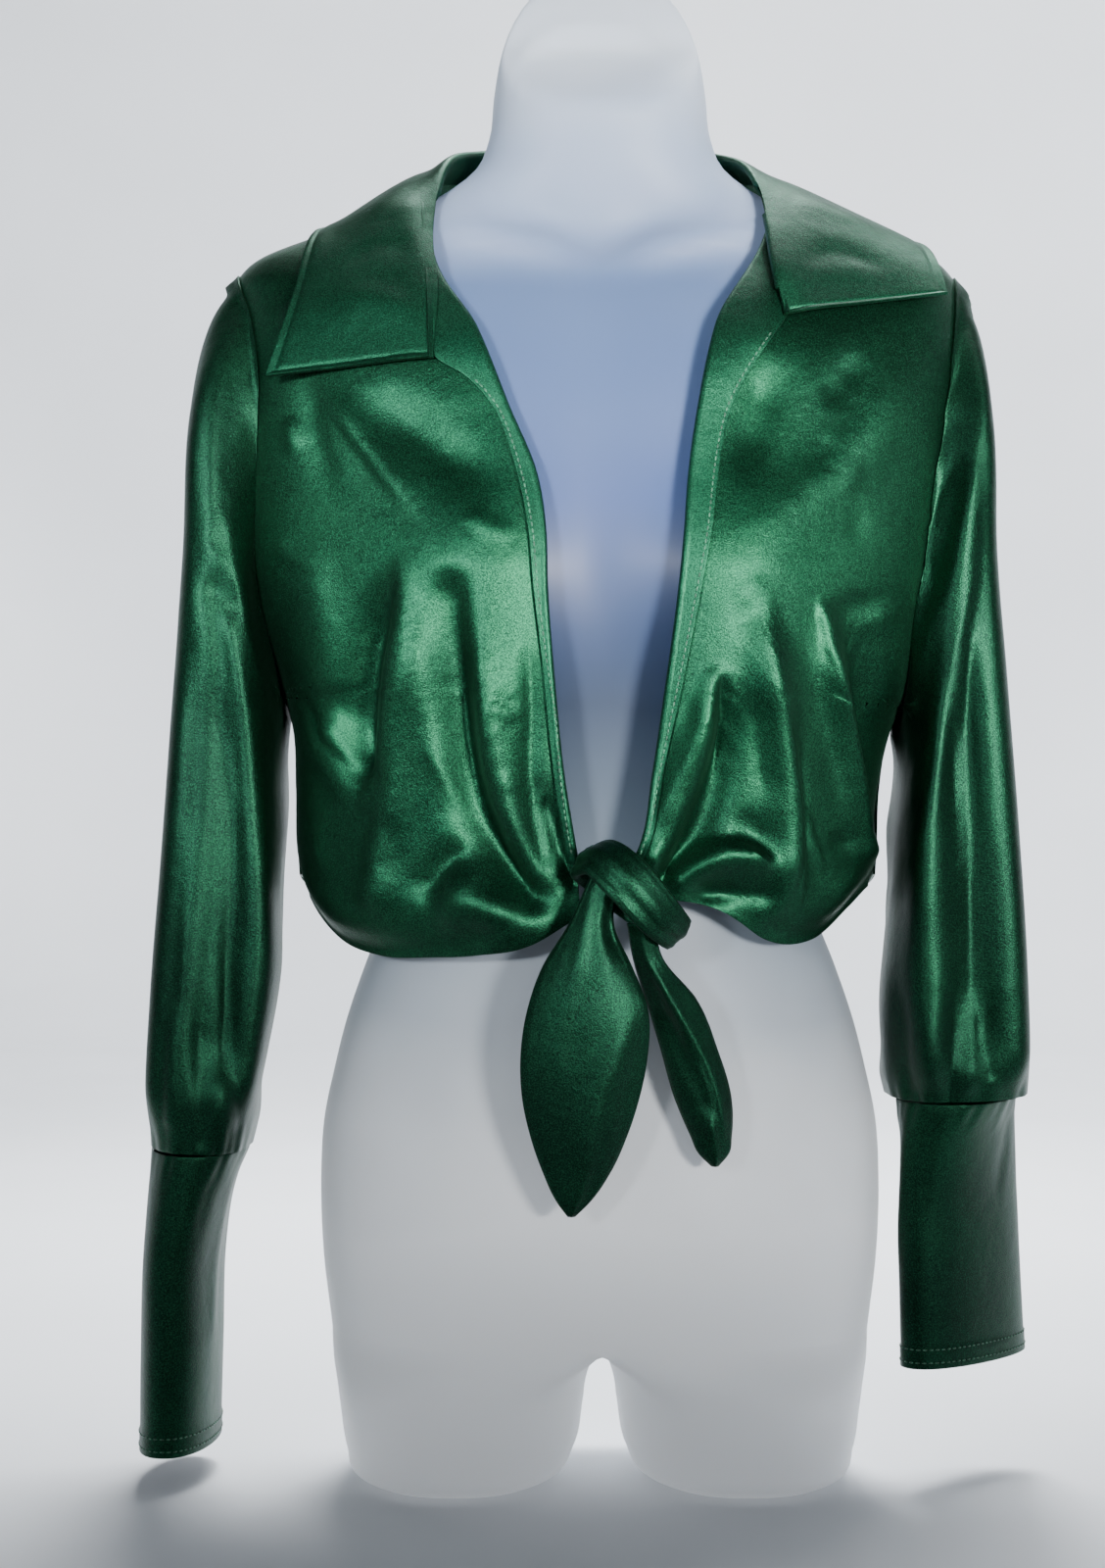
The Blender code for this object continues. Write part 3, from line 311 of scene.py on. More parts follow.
# Each sleeve hangs from the shoulder: its outer and inner lines as seen from the front, and
# how far it reaches before and behind.  "Down" runs from the shoulder (0) to the cuff (1).
SLEEVE = {
    RIGHT: table(
        "down ox oz ix iz front back",
        (0.00, -0.1905, 0.634, -0.1640, 0.413, 0.052, 0.052),
        (0.08, -0.2040, 0.612, -0.1660, 0.396, 0.057, 0.058),
        (0.18, -0.2130, 0.570, -0.1680, 0.374, 0.061, 0.062),
        (0.32, -0.2160, 0.498, -0.1680, 0.344, 0.062, 0.064),
        (0.48, -0.2225, 0.412, -0.1675, 0.308, 0.061, 0.064),
        (0.64, -0.2280, 0.336, -0.1670, 0.270, 0.060, 0.062),
        (0.80, -0.2335, 0.262, -0.1735, 0.230, 0.058, 0.060),
        (0.92, -0.2360, 0.206, -0.1810, 0.196, 0.055, 0.057),
        (1.00, -0.2350, 0.177, -0.1865, 0.175, 0.049, 0.051),
    ),
    LEFT: table(
        "down ox oz ix iz front back",
        (0.00, 0.1865, 0.632, 0.1580, 0.400, 0.052, 0.052),
        (0.08, 0.1980, 0.608, 0.1585, 0.386, 0.056, 0.058),
        (0.18, 0.2028, 0.568, 0.1590, 0.366, 0.060, 0.062),
        (0.32, 0.2045, 0.500, 0.1565, 0.340, 0.062, 0.064),
        (0.48, 0.2105, 0.430, 0.1535, 0.312, 0.061, 0.064),
        (0.64, 0.2175, 0.350, 0.1500, 0.282, 0.060, 0.062),
        (0.80, 0.2230, 0.276, 0.1475, 0.246, 0.058, 0.060),
        (0.92, 0.2250, 0.224, 0.1500, 0.216, 0.054, 0.056),
        (1.00, 0.2240, 0.204, 0.1535, 0.202, 0.048, 0.050),
    ),
}
SLEEVE_ROUNDNESS = 2.5
ARMHOLE_OPEN = 0.016
SLEEVE_CLEAR = 0.0012
# Long soft folds down each sleeve: the angle round it (0 outside, 90 front), how wide and
# how deep, and the stretch that each covers.
SLEEVE_FOLDS = table(
    "side angle turn width rise start end",
    (RIGHT, 48, -6, 16, 0.0060, 0.02, 1.00),
    (RIGHT, 92, 14, 20, -0.0090, 0.22, 0.92),
    (RIGHT, 128, 10, 18, 0.0050, 0.30, 0.96),
    (RIGHT, 200, 0, 26, -0.0050, 0.30, 0.95),
    (RIGHT, 300, 0, 24, 0.0050, 0.10, 0.98),
    (LEFT, 40, 10, 16, 0.0060, 0.03, 1.00),
    (LEFT, 84, 0, 17, -0.0080, 0.25, 0.95),
    (LEFT, 122, -8, 18, 0.0060, 0.28, 0.98),
    (LEFT, 205, 0, 26, -0.0050, 0.30, 0.95),
    (LEFT, 305, 0, 24, 0.0050, 0.10, 0.98),
)

# Each deep cuff: centre, half lengths of its flattened ring, and the turn of its flat side.
CUFF = {
    RIGHT: table(
        "height cx cy long short turn",
        (0.018, -0.2224, 0.002, 0.0435, 0.0175, 84),
        (0.070, -0.2215, 0.002, 0.0440, 0.0180, 84),
        (0.120, -0.2199, 0.001, 0.0450, 0.0180, 84),
        (0.150, -0.2165, 0.001, 0.0465, 0.0205, 88),
        (0.1745, -0.2113, 0.001, 0.0485, 0.0240, 90),
    ),
    LEFT: table(
        "height cx cy long short turn",
        (0.0625, 0.1932, 0.000, 0.0450, 0.0170, 44),
        (0.1100, 0.1915, 0.000, 0.0450, 0.0175, 46),
        (0.1500, 0.1908, 0.001, 0.0455, 0.0190, 50),
        (0.1800, 0.1905, 0.001, 0.0465, 0.0230, 58),
        (0.2010, 0.1895, 0.001, 0.0480, 0.0290, 70),
    ),
}

# The two tie ends, each a doubled leaf of cloth, and the knot between them.
TAIL = {
    RIGHT: table(
        "height centre width front thick bow ridge",
        (0.1545, -0.0158, 0.0020, -0.119, 0.0010, 0.001, 0.00),
        (0.1600, -0.0150, 0.0070, -0.120, 0.0014, 0.002, 0.10),
        (0.1770, -0.0131, 0.0171, -0.122, 0.0015, 0.004, 0.20),
        (0.1936, -0.0122, 0.0237, -0.124, 0.0015, 0.006, 0.25),
        (0.2121, -0.0112, 0.0287, -0.126, 0.0015, 0.008, 0.35),
        (0.2302, -0.0098, 0.0310, -0.128, 0.0015, 0.009, 0.50),
        (0.2573, -0.0078, 0.0292, -0.129, 0.0017, 0.010, 0.70),
        (0.2772, -0.0080, 0.0218, -0.127, 0.0026, 0.008, 0.60),
        (0.2967, -0.0062, 0.0115, -0.1225, 0.0046, 0.003, 0.40),
        (0.3220, 0.0010, 0.0072, -0.1198, 0.0070, 0.001, 0.30),
    ),
    LEFT: table(
        "height centre width front thick bow ridge",
        (0.1770, 0.0553, 0.0020, -0.104, 0.0010, 0.002, 0.10),
        (0.1830, 0.0548, 0.0075, -0.105, 0.0014, 0.003, 0.10),
        (0.1917, 0.0535, 0.0103, -0.106, 0.0015, 0.005, 0.10),
        (0.2104, 0.0495, 0.0142, -0.108, 0.0015, 0.007, 0.10),
        (0.2349, 0.0425, 0.0142, -0.111, 0.0015, 0.008, 0.00),
        (0.2609, 0.0330, 0.0125, -0.114, 0.0022, 0.006, -0.1),
        (0.2800, 0.0220, 0.0076, -0.117, 0.0034, 0.002, -0.1),
        (0.2980, 0.0180, 0.0068, -0.1185, 0.0060, 0.001, 0.0),
    ),
}
TAIL_RIDGE, TAIL_RIDGE_WIDTH = 0.0035, 0.28
KNOT = table(
    "round x y z wide thick",
    (0.000, -0.0100, -0.1140, 0.3280, 0.0100, 0.0034),
    (0.125, -0.0010, -0.1270, 0.3300, 0.0115, 0.0042),
    (0.250, 0.0120, -0.1340, 0.3190, 0.0125, 0.0046),
    (0.375, 0.0260, -0.1310, 0.3030, 0.0115, 0.0042),
    (0.500, 0.0360, -0.1190, 0.2930, 0.0095, 0.0034),
    (0.625, 0.0300, -0.1095, 0.2970, 0.0100, 0.0032),
    (0.750, 0.0130, -0.1054, 0.3090, 0.0100, 0.0032),
    (0.875, -0.0030, -0.1060, 0.3220, 0.0100, 0.0032),
    (1.000, -0.0100, -0.1140, 0.3280, 0.0100, 0.0034),
)
KNOT_GROOVE = 0.06

# The scene's own sizes. The finished edges' radius, on the cloth and on the thicker collar.
SOFT_EDGE, COLLAR_EDGE = 0.0004, 0.0006

# The body's sheets: how much closer their rows lie at the shoulders, the angle that keeps the
# side seams apart, and the share of each sheet over which the shoulder seam's line gives way to
# the armhole's.
ROWS_CLOSER = 1.25
SEAM_ANGLE = SEAM_GAP / 0.16
SHOULDER_SHARE = {"front": 0.22, "back": 0.20}
# Below this height, reached over this stretch, the front's points are placed by their angle.
CHEST_HEIGHT, CHEST_OVER = 0.62, 0.08
# The share of the back that its neck takes, and how its hem rises to the sides.
NECK_SHARE = 0.3
BACK_HEM_RISE, BACK_HEM_CORNER = 0.012, 0.006
# The share of a large fold's length over which it starts, and how far it may cross the middle.
FOLD_START, FOLD_CROSSING = 0.35, 0.02

# The turned-back front edges: where they end below and, at their outer and inner edges, above,
# the share of their width that the round fold takes, the fold's radius below and under the
# collar, how high the strip's outer edge lies there, and the stitching's place and top.
LAPEL_FOOT = 0.327
LAPEL_HEAD = {RIGHT: (0.612, 0.655), LEFT: (0.622, 0.655)}
LAPEL_FOLD_SHARE = 0.16
LAPEL_RADIUS, LAPEL_REST = (0.0011, 0.0002), (0.0013, 0.0002)
LAPEL_STITCH_IN = 0.0021
GORGE = {RIGHT: 0.570, LEFT: 0.597}

# The collar's roll: the share of the collar's depth that it takes past its top, half the space
# between its walls, and how much higher it stands behind the neck than its solid.
ROLL_SHARE = 0.10
ROLL_WIDE = 0.0034
ROLL_RAISE = 0.006
# The collar's length and depth, and its edges: a firm roll at the seam, a shallow ditch inside it.
COLLAR_LONG, COLLAR_DEEP = 0.46, 0.10
EDGE_ROLL, EDGE_DITCH, EDGE_WIDE, DITCH_IN = 0.0003, 0.0004, 0.0014, 0.0034
# How far its fall lies off the body, and all of it off the form, once fine and while coarse.
FALL_CLEAR, FORM_CLEAR, COARSE_FORM_CLEAR = 0.0016, 0.0022, 0.0030

# The sleeves: how far the armhole seam is set in, the share of their length over which it gives
# way to the hanging tube, how near the seam lies to the body, the shares of the length over
# which the cloth lifts off there and is smoothed, and the gathers above and below the cuff's seam.
ARMHOLE_SET_IN = 0.0008
ARMHOLE_SHARE = 0.16
SEAM_CLEAR, SEAM_SHARE, CAP_SHARE = 0.0002, 0.045, 0.12
SLEEVE_GATHER, CUFF_GATHER = 0.0007, 0.0006

# The cuffs' section, the depth of their hems, the step above them and where their stitches run.
CUFF_ROUNDNESS = 2.2
HEM_DEEP, HEM_STEP = 0.0115, 0.0005
HEM_STITCH_DOWN = (0.0015, 0.0081)
TIE_ROUNDNESS = 2.4
# A stitch: its length, its half width, and how far apart the stitches start.
STITCH_LONG, STITCH_HALF, STITCH_EVERY = 0.0025, 0.00044, 0.0034

# The smaller creases, given one by one. Each has its side, its height (below zero a trough) and
# its reach to the one and the other hand, in tenths of a millimetre, the tenths of its length
# over which it starts and ends, and the points of the line that it follows, in millimetres.
# Those of the fronts are drawn from the front, as across and up.
FRONT_CREASES = (
    (RIGHT, 28, 40, 70, 2, 4, (-99, 484), (-100, 453), (-103, 429), (-106, 398), (-111, 379),
     (-117, 361), (-125, 344), (-133, 331)),
    (RIGHT, -42, 110, 70, 3, 2, (-105, 473), (-112, 443), (-119, 412), (-122, 388), (-116, 363)),
    (RIGHT, 32, 130, 100, 4, 1, (-147, 489), (-144, 463), (-140, 436), (-136, 410)),
    (RIGHT, -19, 30, 30, 3, 2, (-154, 414), (-141, 391), (-128, 374), (-117, 363)),
    (RIGHT, 17, 50, 50, 3, 3, (-155, 402), (-143, 381), (-131, 363), (-121, 353)),
    (RIGHT, -52, 90, 80, 1, 1, (-75, 476), (-75, 445), (-73, 413), (-71, 381), (-66, 351),
     (-46, 324), (-26, 300)),
    (RIGHT, 30, 40, 60, 2, 1, (-62, 448), (-59, 405), (-56, 372), (-44, 340), (-28, 309)),
    (RIGHT, -28, 40, 50, 3, 1, (-38, 447), (-36, 405), (-36, 356), (-31, 333), (-22, 321)),
    (RIGHT, 26, 22, 28, 2, 1, (-29, 369), (-32, 356), (-29, 340), (-25, 327), (-17, 316)),
    (RIGHT, -18, 20, 20, 3, 2, (-26, 360), (-24, 351), (-21, 338), (-17, 326)),
    (RIGHT, 38, 90, 100, 3, 3, (-87, 295), (-63, 305), (-37, 299)),
    (RIGHT, -34, 80, 80, 3, 3, (-93, 306), (-79, 324), (-66, 339)),
    (RIGHT, 20, 80, 60, 3, 3, (-96, 461), (-90, 421), (-84, 389), (-76, 349)),
    (RIGHT, 16, 40, 40, 3, 2, (-67, 281), (-55, 285), (-41, 293)),
    (RIGHT, 15, 22, 26, 4, 3, (-56, 407), (-48, 401), (-40, 400)),
    (RIGHT, -11, 20, 20, 4, 3, (-56, 410), (-49, 406), (-41, 404)),
    (RIGHT, 12, 22, 22, 4, 3, (-51, 368), (-45, 366), (-40, 363)),
    (RIGHT, 13, 25, 25, 4, 3, (-89, 396), (-82, 376), (-70, 348)),
    (RIGHT, -15, 50, 60, 3, 4, (-106, 315), (-103, 337), (-108, 356)),
    (RIGHT, 12, 40, 50, 4, 4, (-143, 351), (-145, 334), (-138, 315)),
    (RIGHT, 14, 60, 50, 3, 6, (-171, 489), (-153, 481), (-130, 477)),
    (RIGHT, 30, 50, 80, 3, 4, (-142, 569), (-121, 540), (-100, 512), (-85, 492)),
    (RIGHT, -34, 110, 120, 4, 4, (-121, 567), (-92, 540), (-69, 521), (-54, 501)),
    (RIGHT, -20, 70, 70, 4, 4, (-151, 588), (-148, 559), (-140, 526), (-126, 501)),
    (RIGHT, 18, 50, 50, 4, 4, (-159, 555), (-157, 545), (-156, 532)),
    (RIGHT, 15, 50, 50, 4, 4, (-160, 615), (-158, 604), (-160, 592)),
    (RIGHT, 13, 40, 50, 4, 4, (-70, 501), (-56, 492), (-41, 488)),
    (LEFT, 30, 60, 30, 1, 1, (57, 426), (49, 401), (41, 379), (30, 356), (23, 338), (26, 321)),
    (LEFT, -44, 60, 50, 1, 1, (58, 422), (57, 390), (49, 365), (39, 340), (29, 316)),
    (LEFT, 16, 30, 40, 2, 4, (61, 424), (62, 395), (62, 366)),
    (LEFT, 28, 90, 50, 3, 1, (81, 470), (80, 445), (83, 405), (89, 372), (94, 347), (91, 324),
     (82, 318)),
    (LEFT, -20, 50, 60, 3, 3, (73, 414), (78, 381), (82, 351)),
    (LEFT, -18, 30, 35, 3, 2, (95, 395), (98, 366), (99, 337), (95, 315)),
    (LEFT, 32, 40, 40, 1, 2, (31, 314), (45, 327), (57, 334), (71, 332), (84, 321)),
    (LEFT, -18, 70, 70, 4, 4, (59, 349), (74, 344), (84, 331)),
    (LEFT, -16, 50, 50, 3, 4, (41, 312), (57, 315), (74, 310)),
    (LEFT, 14, 60, 60, 4, 4, (92, 320), (89, 307), (78, 298), (66, 300)),
    (LEFT, 30, 26, 60, 1, 2, (107, 461), (112, 434), (120, 401), (126, 372), (132, 348),
     (137, 321)),
    (LEFT, -12, 60, 30, 3, 3, (104, 439), (110, 411), (116, 381), (122, 351)),
    (LEFT, -30, 80, 160, 1, 5, (121, 464), (127, 434), (130, 400), (132, 366)),
    (LEFT, 15, 20, 25, 3, 3, (99, 357), (104, 337), (113, 319)),
    (LEFT, 13, 20, 20, 3, 3, (99, 338), (97, 322), (99, 301)),
    (LEFT, -18, 50, 50, 4, 4, (113, 342), (120, 336), (130, 341)),
    (LEFT, 14, 50, 50, 4, 4, (114, 310), (124, 315), (134, 322)),
    (LEFT, 7, 50, 50, 4, 4, (62, 454), (73, 463), (79, 470)),
    (LEFT, -8, 60, 60, 4, 4, (62, 440), (70, 447), (76, 456)),
    (LEFT, 38, 130, 170, 4, 4, (159, 593), (135, 545), (99, 509), (64, 482)),
    (LEFT, -40, 120, 120, 4, 4, (89, 586), (78, 550), (66, 511)),
    (LEFT, -18, 70, 80, 4, 4, (136, 584), (120, 569), (111, 550)),
    (LEFT, -6, 50, 50, 4, 4, (116, 540), (109, 529), (108, 518)),
    (LEFT, 6, 50, 50, 4, 4, (130, 526), (122, 519), (114, 511)),
    (LEFT, -7, 60, 60, 4, 4, (136, 501), (128, 496), (122, 488)),
    (LEFT, 13, 50, 60, 3, 6, (152, 458), (137, 448), (122, 443)),
    (LEFT, -13, 50, 60, 3, 6, (146, 424), (137, 414), (131, 400)),
    (LEFT, 12, 30, 50, 3, 2, (41, 405), (35, 376), (27, 342)),
)

# Those of the sleeves that show from the front, drawn in the same way.
SLEEVE_CREASES = (
    (RIGHT, 26, 90, 60, 1, 3, (-184, 623), (-192, 591), (-197, 564), (-199, 532), (-201, 500),
     (-203, 476), (-204, 457), (-201, 436), (-196, 412), (-193, 386)),
    (RIGHT, -24, 60, 60, 3, 3, (-203, 471), (-194, 463), (-184, 446)),
    (RIGHT, 18, 40, 50, 3, 4, (-201, 486), (-189, 476), (-179, 460)),
    (RIGHT, 14, 50, 50, 4, 4, (-200, 506), (-187, 493), (-179, 481)),
    (RIGHT, 14, 50, 70, 3, 4, (-189, 436), (-188, 386), (-183, 336)),
    (RIGHT, -15, 50, 60, 3, 4, (-205, 421), (-207, 371), (-209, 316)),
    (RIGHT, 13, 40, 60, 4, 3, (-209, 326), (-212, 266), (-215, 206)),
    (RIGHT, -14, 50, 50, 4, 3, (-189, 316), (-191, 261), (-196, 206)),
    (RIGHT, 10, 30, 40, 4, 4, (-177, 386), (-172, 341), (-171, 301)),
    (RIGHT, -12, 40, 40, 4, 2, (-201, 236), (-203, 211), (-204, 186)),
    (RIGHT, 10, 30, 30, 4, 2, (-192, 221), (-193, 201), (-191, 184)),
    (RIGHT, 16, 30, 40, 4, 1, (-217, 261), (-219, 226), (-221, 187)),
    (RIGHT, -19, 30, 40, 4, 1, (-207, 266), (-207, 226), (-205, 176)),
    (RIGHT, 16, 30, 30, 4, 1, (-196, 286), (-196, 236), (-196, 175)),
    (RIGHT, -16, 30, 30, 4, 1, (-186, 276), (-187, 226), (-188, 182)),
    (RIGHT, -10, 60, 60, 4, 4, (-176, 601), (-181, 566), (-183, 526)),
    (LEFT, 26, 35, 40, 2, 4, (165, 502), (173, 529), (185, 538)),
    (LEFT, 26, 35, 40, 2, 4, (163, 490), (170, 514), (184, 522)),
    (LEFT, -26, 30, 30, 2, 4, (166, 498), (174, 518), (185, 531)),
    (LEFT, -32, 50, 60, 3, 4, (163, 483), (170, 473), (177, 465)),
    (LEFT, 24, 40, 80, 2, 3, (192, 540), (189, 518), (184, 495), (179, 473), (169, 444),
     (160, 406)),
    (LEFT, 18, 40, 70, 3, 3, (193, 460), (194, 416), (197, 366), (199, 316)),
    (LEFT, 14, 40, 50, 3, 5, (172, 551), (179, 560), (189, 566)),
    (LEFT, -13, 40, 50, 3, 5, (174, 566), (181, 576), (191, 580)),
    (LEFT, -16, 60, 60, 3, 3, (177, 446), (176, 396), (179, 336)),
    (LEFT, 14, 50, 60, 3, 3, (165, 386), (163, 336), (164, 286)),
    (LEFT, -14, 50, 50, 3, 3, (188, 336), (189, 286), (188, 236)),
    (LEFT, 12, 40, 50, 3, 2, (173, 286), (173, 246), (177, 211)),
    (LEFT, -12, 40, 40, 3, 2, (155, 276), (155, 241), (158, 206)),
    (LEFT, -19, 30, 30, 4, 1, (157, 266), (159, 236), (161, 202)),
    (LEFT, 17, 30, 40, 4, 1, (168, 261), (169, 231), (170, 195)),
    (LEFT, -21, 40, 30, 4, 1, (180, 271), (179, 231), (179, 195)),
    (LEFT, 15, 30, 30, 4, 1, (191, 266), (190, 236), (189, 205)),
    (LEFT, -15, 30, 40, 4, 1, (201, 266), (200, 236), (199, 212)),
    (LEFT, 10, 30, 40, 3, 2, (207, 276), (202, 241), (199, 216)),
)

# Those of the back, drawn as across and up.
BACK_CREASES = (
    (RIGHT, 20, 120, 70, 4, 2, (-150, 560), (-120, 470), (-104, 390), (-98, 312)),
    (RIGHT, -22, 80, 100, 4, 3, (-128, 550), (-102, 470), (-88, 380)),
    (RIGHT, 16, 70, 90, 3, 3, (-86, 500), (-70, 430), (-52, 350), (-48, 305)),
    (RIGHT, -15, 60, 80, 4, 2, (-38, 430), (-34, 370), (-28, 306)),
    (RIGHT, 14, 50, 60, 4, 5, (-168, 470), (-150, 440), (-124, 424)),
    (RIGHT, -13, 50, 50, 3, 5, (-164, 440), (-146, 420), (-126, 412)),
    (RIGHT, 12, 100, 120, 4, 4, (-70, 640), (-78, 600), (-92, 550)),
    (LEFT, 19, 70, 120, 4, 2, (152, 550), (128, 470), (116, 380), (118, 318)),
    (LEFT, -20, 100, 70, 4, 3, (132, 530), (106, 460), (96, 372)),
    (LEFT, 17, 80, 80, 3, 2, (78, 480), (58, 410), (46, 350), (40, 306)),
    (LEFT, -14, 60, 70, 5, 2, (30, 400), (22, 350), (16, 306)),
    (LEFT, 14, 50, 60, 4, 5, (168, 462), (146, 436), (120, 428)),
    (LEFT, -11, 100, 100, 4, 4, (60, 646), (74, 600), (82, 540)),
)

# Those of the sleeves' hidden sides, drawn as across (0.8 for each degree round the sleeve) and
# down (460 for the whole sleeve).
SLEEVE_DEGREE = 0.0008
SLEEVE_BACK_CREASES = (
    (RIGHT, 18, 70, 50, 3, 3, (158, 60), (168, 160), (160, 280)),
    (RIGHT, -18, 60, 60, 3, 3, (176, 130), (184, 240), (178, 360)),
    (RIGHT, 15, 50, 70, 4, 2, (196, 200), (206, 310), (200, 430)),
    (RIGHT, -15, 60, 50, 3, 4, (222, 80), (232, 200), (226, 330)),
    (RIGHT, 16, 60, 60, 3, 3, (252, 120), (258, 250), (250, 400)),
    (RIGHT, 14, 40, 50, 3, 5, (180, 30), (200, 52), (226, 60)),
    (LEFT, 18, 60, 60, 3, 3, (160, 80), (154, 190), (162, 300)),
    (LEFT, -19, 60, 60, 3, 3, (182, 100), (176, 230), (184, 380)),
    (LEFT, 15, 70, 50, 4, 2, (206, 220), (200, 330), (208, 440)),
    (LEFT, -14, 50, 60, 3, 4, (228, 60), (222, 190), (230, 300)),
    (LEFT, 16, 60, 60, 3, 3, (254, 140), (248, 260), (256, 410)),
    (LEFT, 14, 40, 50, 3, 5, (176, 34), (198, 50), (222, 66)),
)

# Those of the cuffs, drawn as across (0.4 for each degree round the cuff) and up.
CUFF_DEGREE = 0.0004
CUFF_CREASES = (
    (RIGHT, 12, 40, 30, 2, 3, (100, 172), (104, 130), (102, 60)),
    (RIGHT, -10, 40, 40, 2, 4, (112, 174), (114, 140), (116, 100)),
    (RIGHT, -9, 30, 40, 2, 5, (88, 174), (86, 150), (90, 120)),
    (RIGHT, 9, 30, 40, 2, 5, (30, 174), (34, 150), (32, 110)),
    (LEFT, 12, 40, 40, 2, 4, (60, 198), (64, 160), (60, 100)),
    (LEFT, -11, 40, 40, 2, 5, (74, 198), (76, 170), (80, 130)),
    (LEFT, 9, 30, 40, 2, 5, (48, 199), (46, 180), (50, 150)),
    (LEFT, -9, 30, 30, 2, 5, (110, 198), (112, 170), (108, 140)),
)

# Those of the tie ends, drawn from the front.
TAIL_CREASES = (
    (RIGHT, 24, 40, 30, 1, 4, (6, 320), (10, 296), (16, 276), (22, 255), (26, 226)),
    (RIGHT, -18, 40, 40, 2, 5, (1, 312), (3, 288), (9, 262), (14, 234)),
    (RIGHT, 14, 30, 30, 2, 5, (-6, 314), (-10, 290), (-16, 262), (-20, 240)),
    (RIGHT, -10, 40, 50, 3, 4, (-10, 280), (-14, 250), (-18, 215)),
    (RIGHT, 13, 40, 50, 4, 4, (10, 222), (4, 196), (-6, 166)),
    (LEFT, 26, 14, 50, 2, 2, (22, 284), (31, 262), (43, 243), (54, 220), (59, 198), (60, 184)),
    (LEFT, -30, 60, 16, 2, 2, (26, 262), (38, 240), (49, 216), (54, 196)),
    (LEFT, 10, 30, 40, 4, 4, (40, 225), (48, 205), (53, 190)),
)

# Those of the collar, drawn as thousandths of its way round the neck and from seam to edge.
COLLAR_CREASES = (
    (0, 12, 180, 300, 3, 4, (60, 300), (90, 550), (110, 850)),
    (0, -10, 160, 200, 3, 4, (150, 320), (160, 550), (150, 850)),
    (0, 12, 200, 200, 3, 4, (205, 300), (215, 500), (235, 750)),
    (0, -11, 140, 180, 3, 4, (330, 340), (320, 600), (310, 900)),
    (0, 11, 200, 240, 3, 4, (480, 340), (500, 600), (520, 850)),
    (0, -10, 160, 160, 3, 4, (650, 340), (670, 600), (700, 850)),
    (0, 13, 200, 220, 3, 4, (800, 360), (815, 550), (850, 800)),
    (0, -12, 180, 220, 3, 4, (905, 340), (900, 550), (930, 800)),
)

# The form's own soft relief: its collarbones, the hollow over them, the line where its neck ends
# in the tab, and the hollow between the breasts.
FORM_CREASES = (
    (0, 60, 60, 110, 3, 2, (-100, 656), (-56, 648), (-18, 636), (-8, 622)),
    (0, 60, 110, 60, 3, 2, (100, 656), (56, 648), (18, 636), (8, 622)),
    (0, -30, 90, 90, 3, 3, (-50, 664), (-20, 656), (0, 642), (20, 656), (50, 664)),
    (0, 30, 40, 60, 2, 2, (-50, 740), (-34, 756), (-6, 765), (22, 759), (43, 742)),
    (0, -20, 120, 120, 3, 5, (0, 628), (0, 560), (0, 480)),
)

# The knot's creases: where each lies across the band, its drift, its height and its width.
KNOT_CREASES = (
    (-0.25, 0.22, 0.16, 0.22),
    (0.26, 0.24, -0.50, 0.07),
    (0.50, 0.18, -0.40, 0.05),
    (0.84, 0.03, -0.24, 0.06),
    (-0.84, 0.03, -0.24, 0.06),
)


# Shapes that the solids share.


def rounded(angle, roundness):
    """The two shares of a superellipse's half widths at an angle."""
    c, s = np.cos(angle), np.sin(angle)
    power = 2.0 / roundness
    return np.sign(c) * np.abs(c) ** power, np.sign(s) * np.abs(s) ** power


def mound(x, height, spread, spread_up, spread_down):
    """How far the bust stands forward of the plain section."""
    tall = np.where(height > BUST_HEIGHT, spread_up, spread_down)
    across = (np.abs(x) - BUST_ACROSS) / spread
    return BUST_RISE * np.exp(-across * across - ((height - BUST_HEIGHT) / tall) ** 2)


def form_points(height, angle):
    """Points on the form's skin: angle -90 is centre front, 0 the side, 90 centre back."""
    across, deep = rounded(angle, FORM_ROUNDNESS)
    x = read(FORM, "width", height) * np.maximum(across, 0.0)
    behind = read(FORM, "back", height) * deep
    y = read(FORM, "front", height) * -deep
    rise = mound(x, height, BUST_SPREAD, BUST_SPREAD_UP, BUST_SPREAD_DOWN)
    y = y + rise * np.clip(-4 * deep, 0.0, 1.0)
    limit = TAB_THICKNESS + TAB_SLOPE * np.maximum(TAB_HEIGHT - height, 0.0)
    before = -np.minimum(y, limit * np.maximum(-deep, 0.0) ** 0.25)
    return stack(x, np.where(deep > 0, behind, before), height)


def thigh_points(height, turn):
    """Points on the stub of one thigh; turn 0 is its outer side, 180 its inner."""
    across, deep = rounded(turn, FORM_ROUNDNESS)
    reach = np.where(deep > 0, read(THIGH, "back", height), read(THIGH, "front", height))
    wide = np.where(across < 0, read(THIGH, "inner", height), read(THIGH, "width", height))
    x = read(THIGH, "centre", height) + wide * across
    return stack(x, reach * deep, height)


def bodice_width(side, height):
    return read(BODICE, SIDE[side], height)


def bodice_points(side, height, angle):
    """Points of the worn body: angle 0 is the side line, 90 centre front, -90 centre back."""
    across, deep = rounded(angle, BODICE_ROUNDNESS)
    x = bodice_width(side, height) * across
    before = read(BODICE, "front", height) * deep
    rise = mound(x, height, DRAPE_SPREAD, DRAPE_SPREAD_UP, DRAPE_SPREAD_DOWN)
    before = before + rise * np.clip(3 * deep, 0.0, 1.0)
    behind = read(BODICE, "back", height) * deep
    return stack(side * x, np.where(deep < 0, -behind, -before), height)


def angle_at(side, height, x):
    """The angle at which the body's section reaches a given distance from the centre line."""
    share = np.minimum(np.abs(x) / bodice_width(side, height), 1.0)
    return np.arccos(share ** (BODICE_ROUNDNESS / 2))


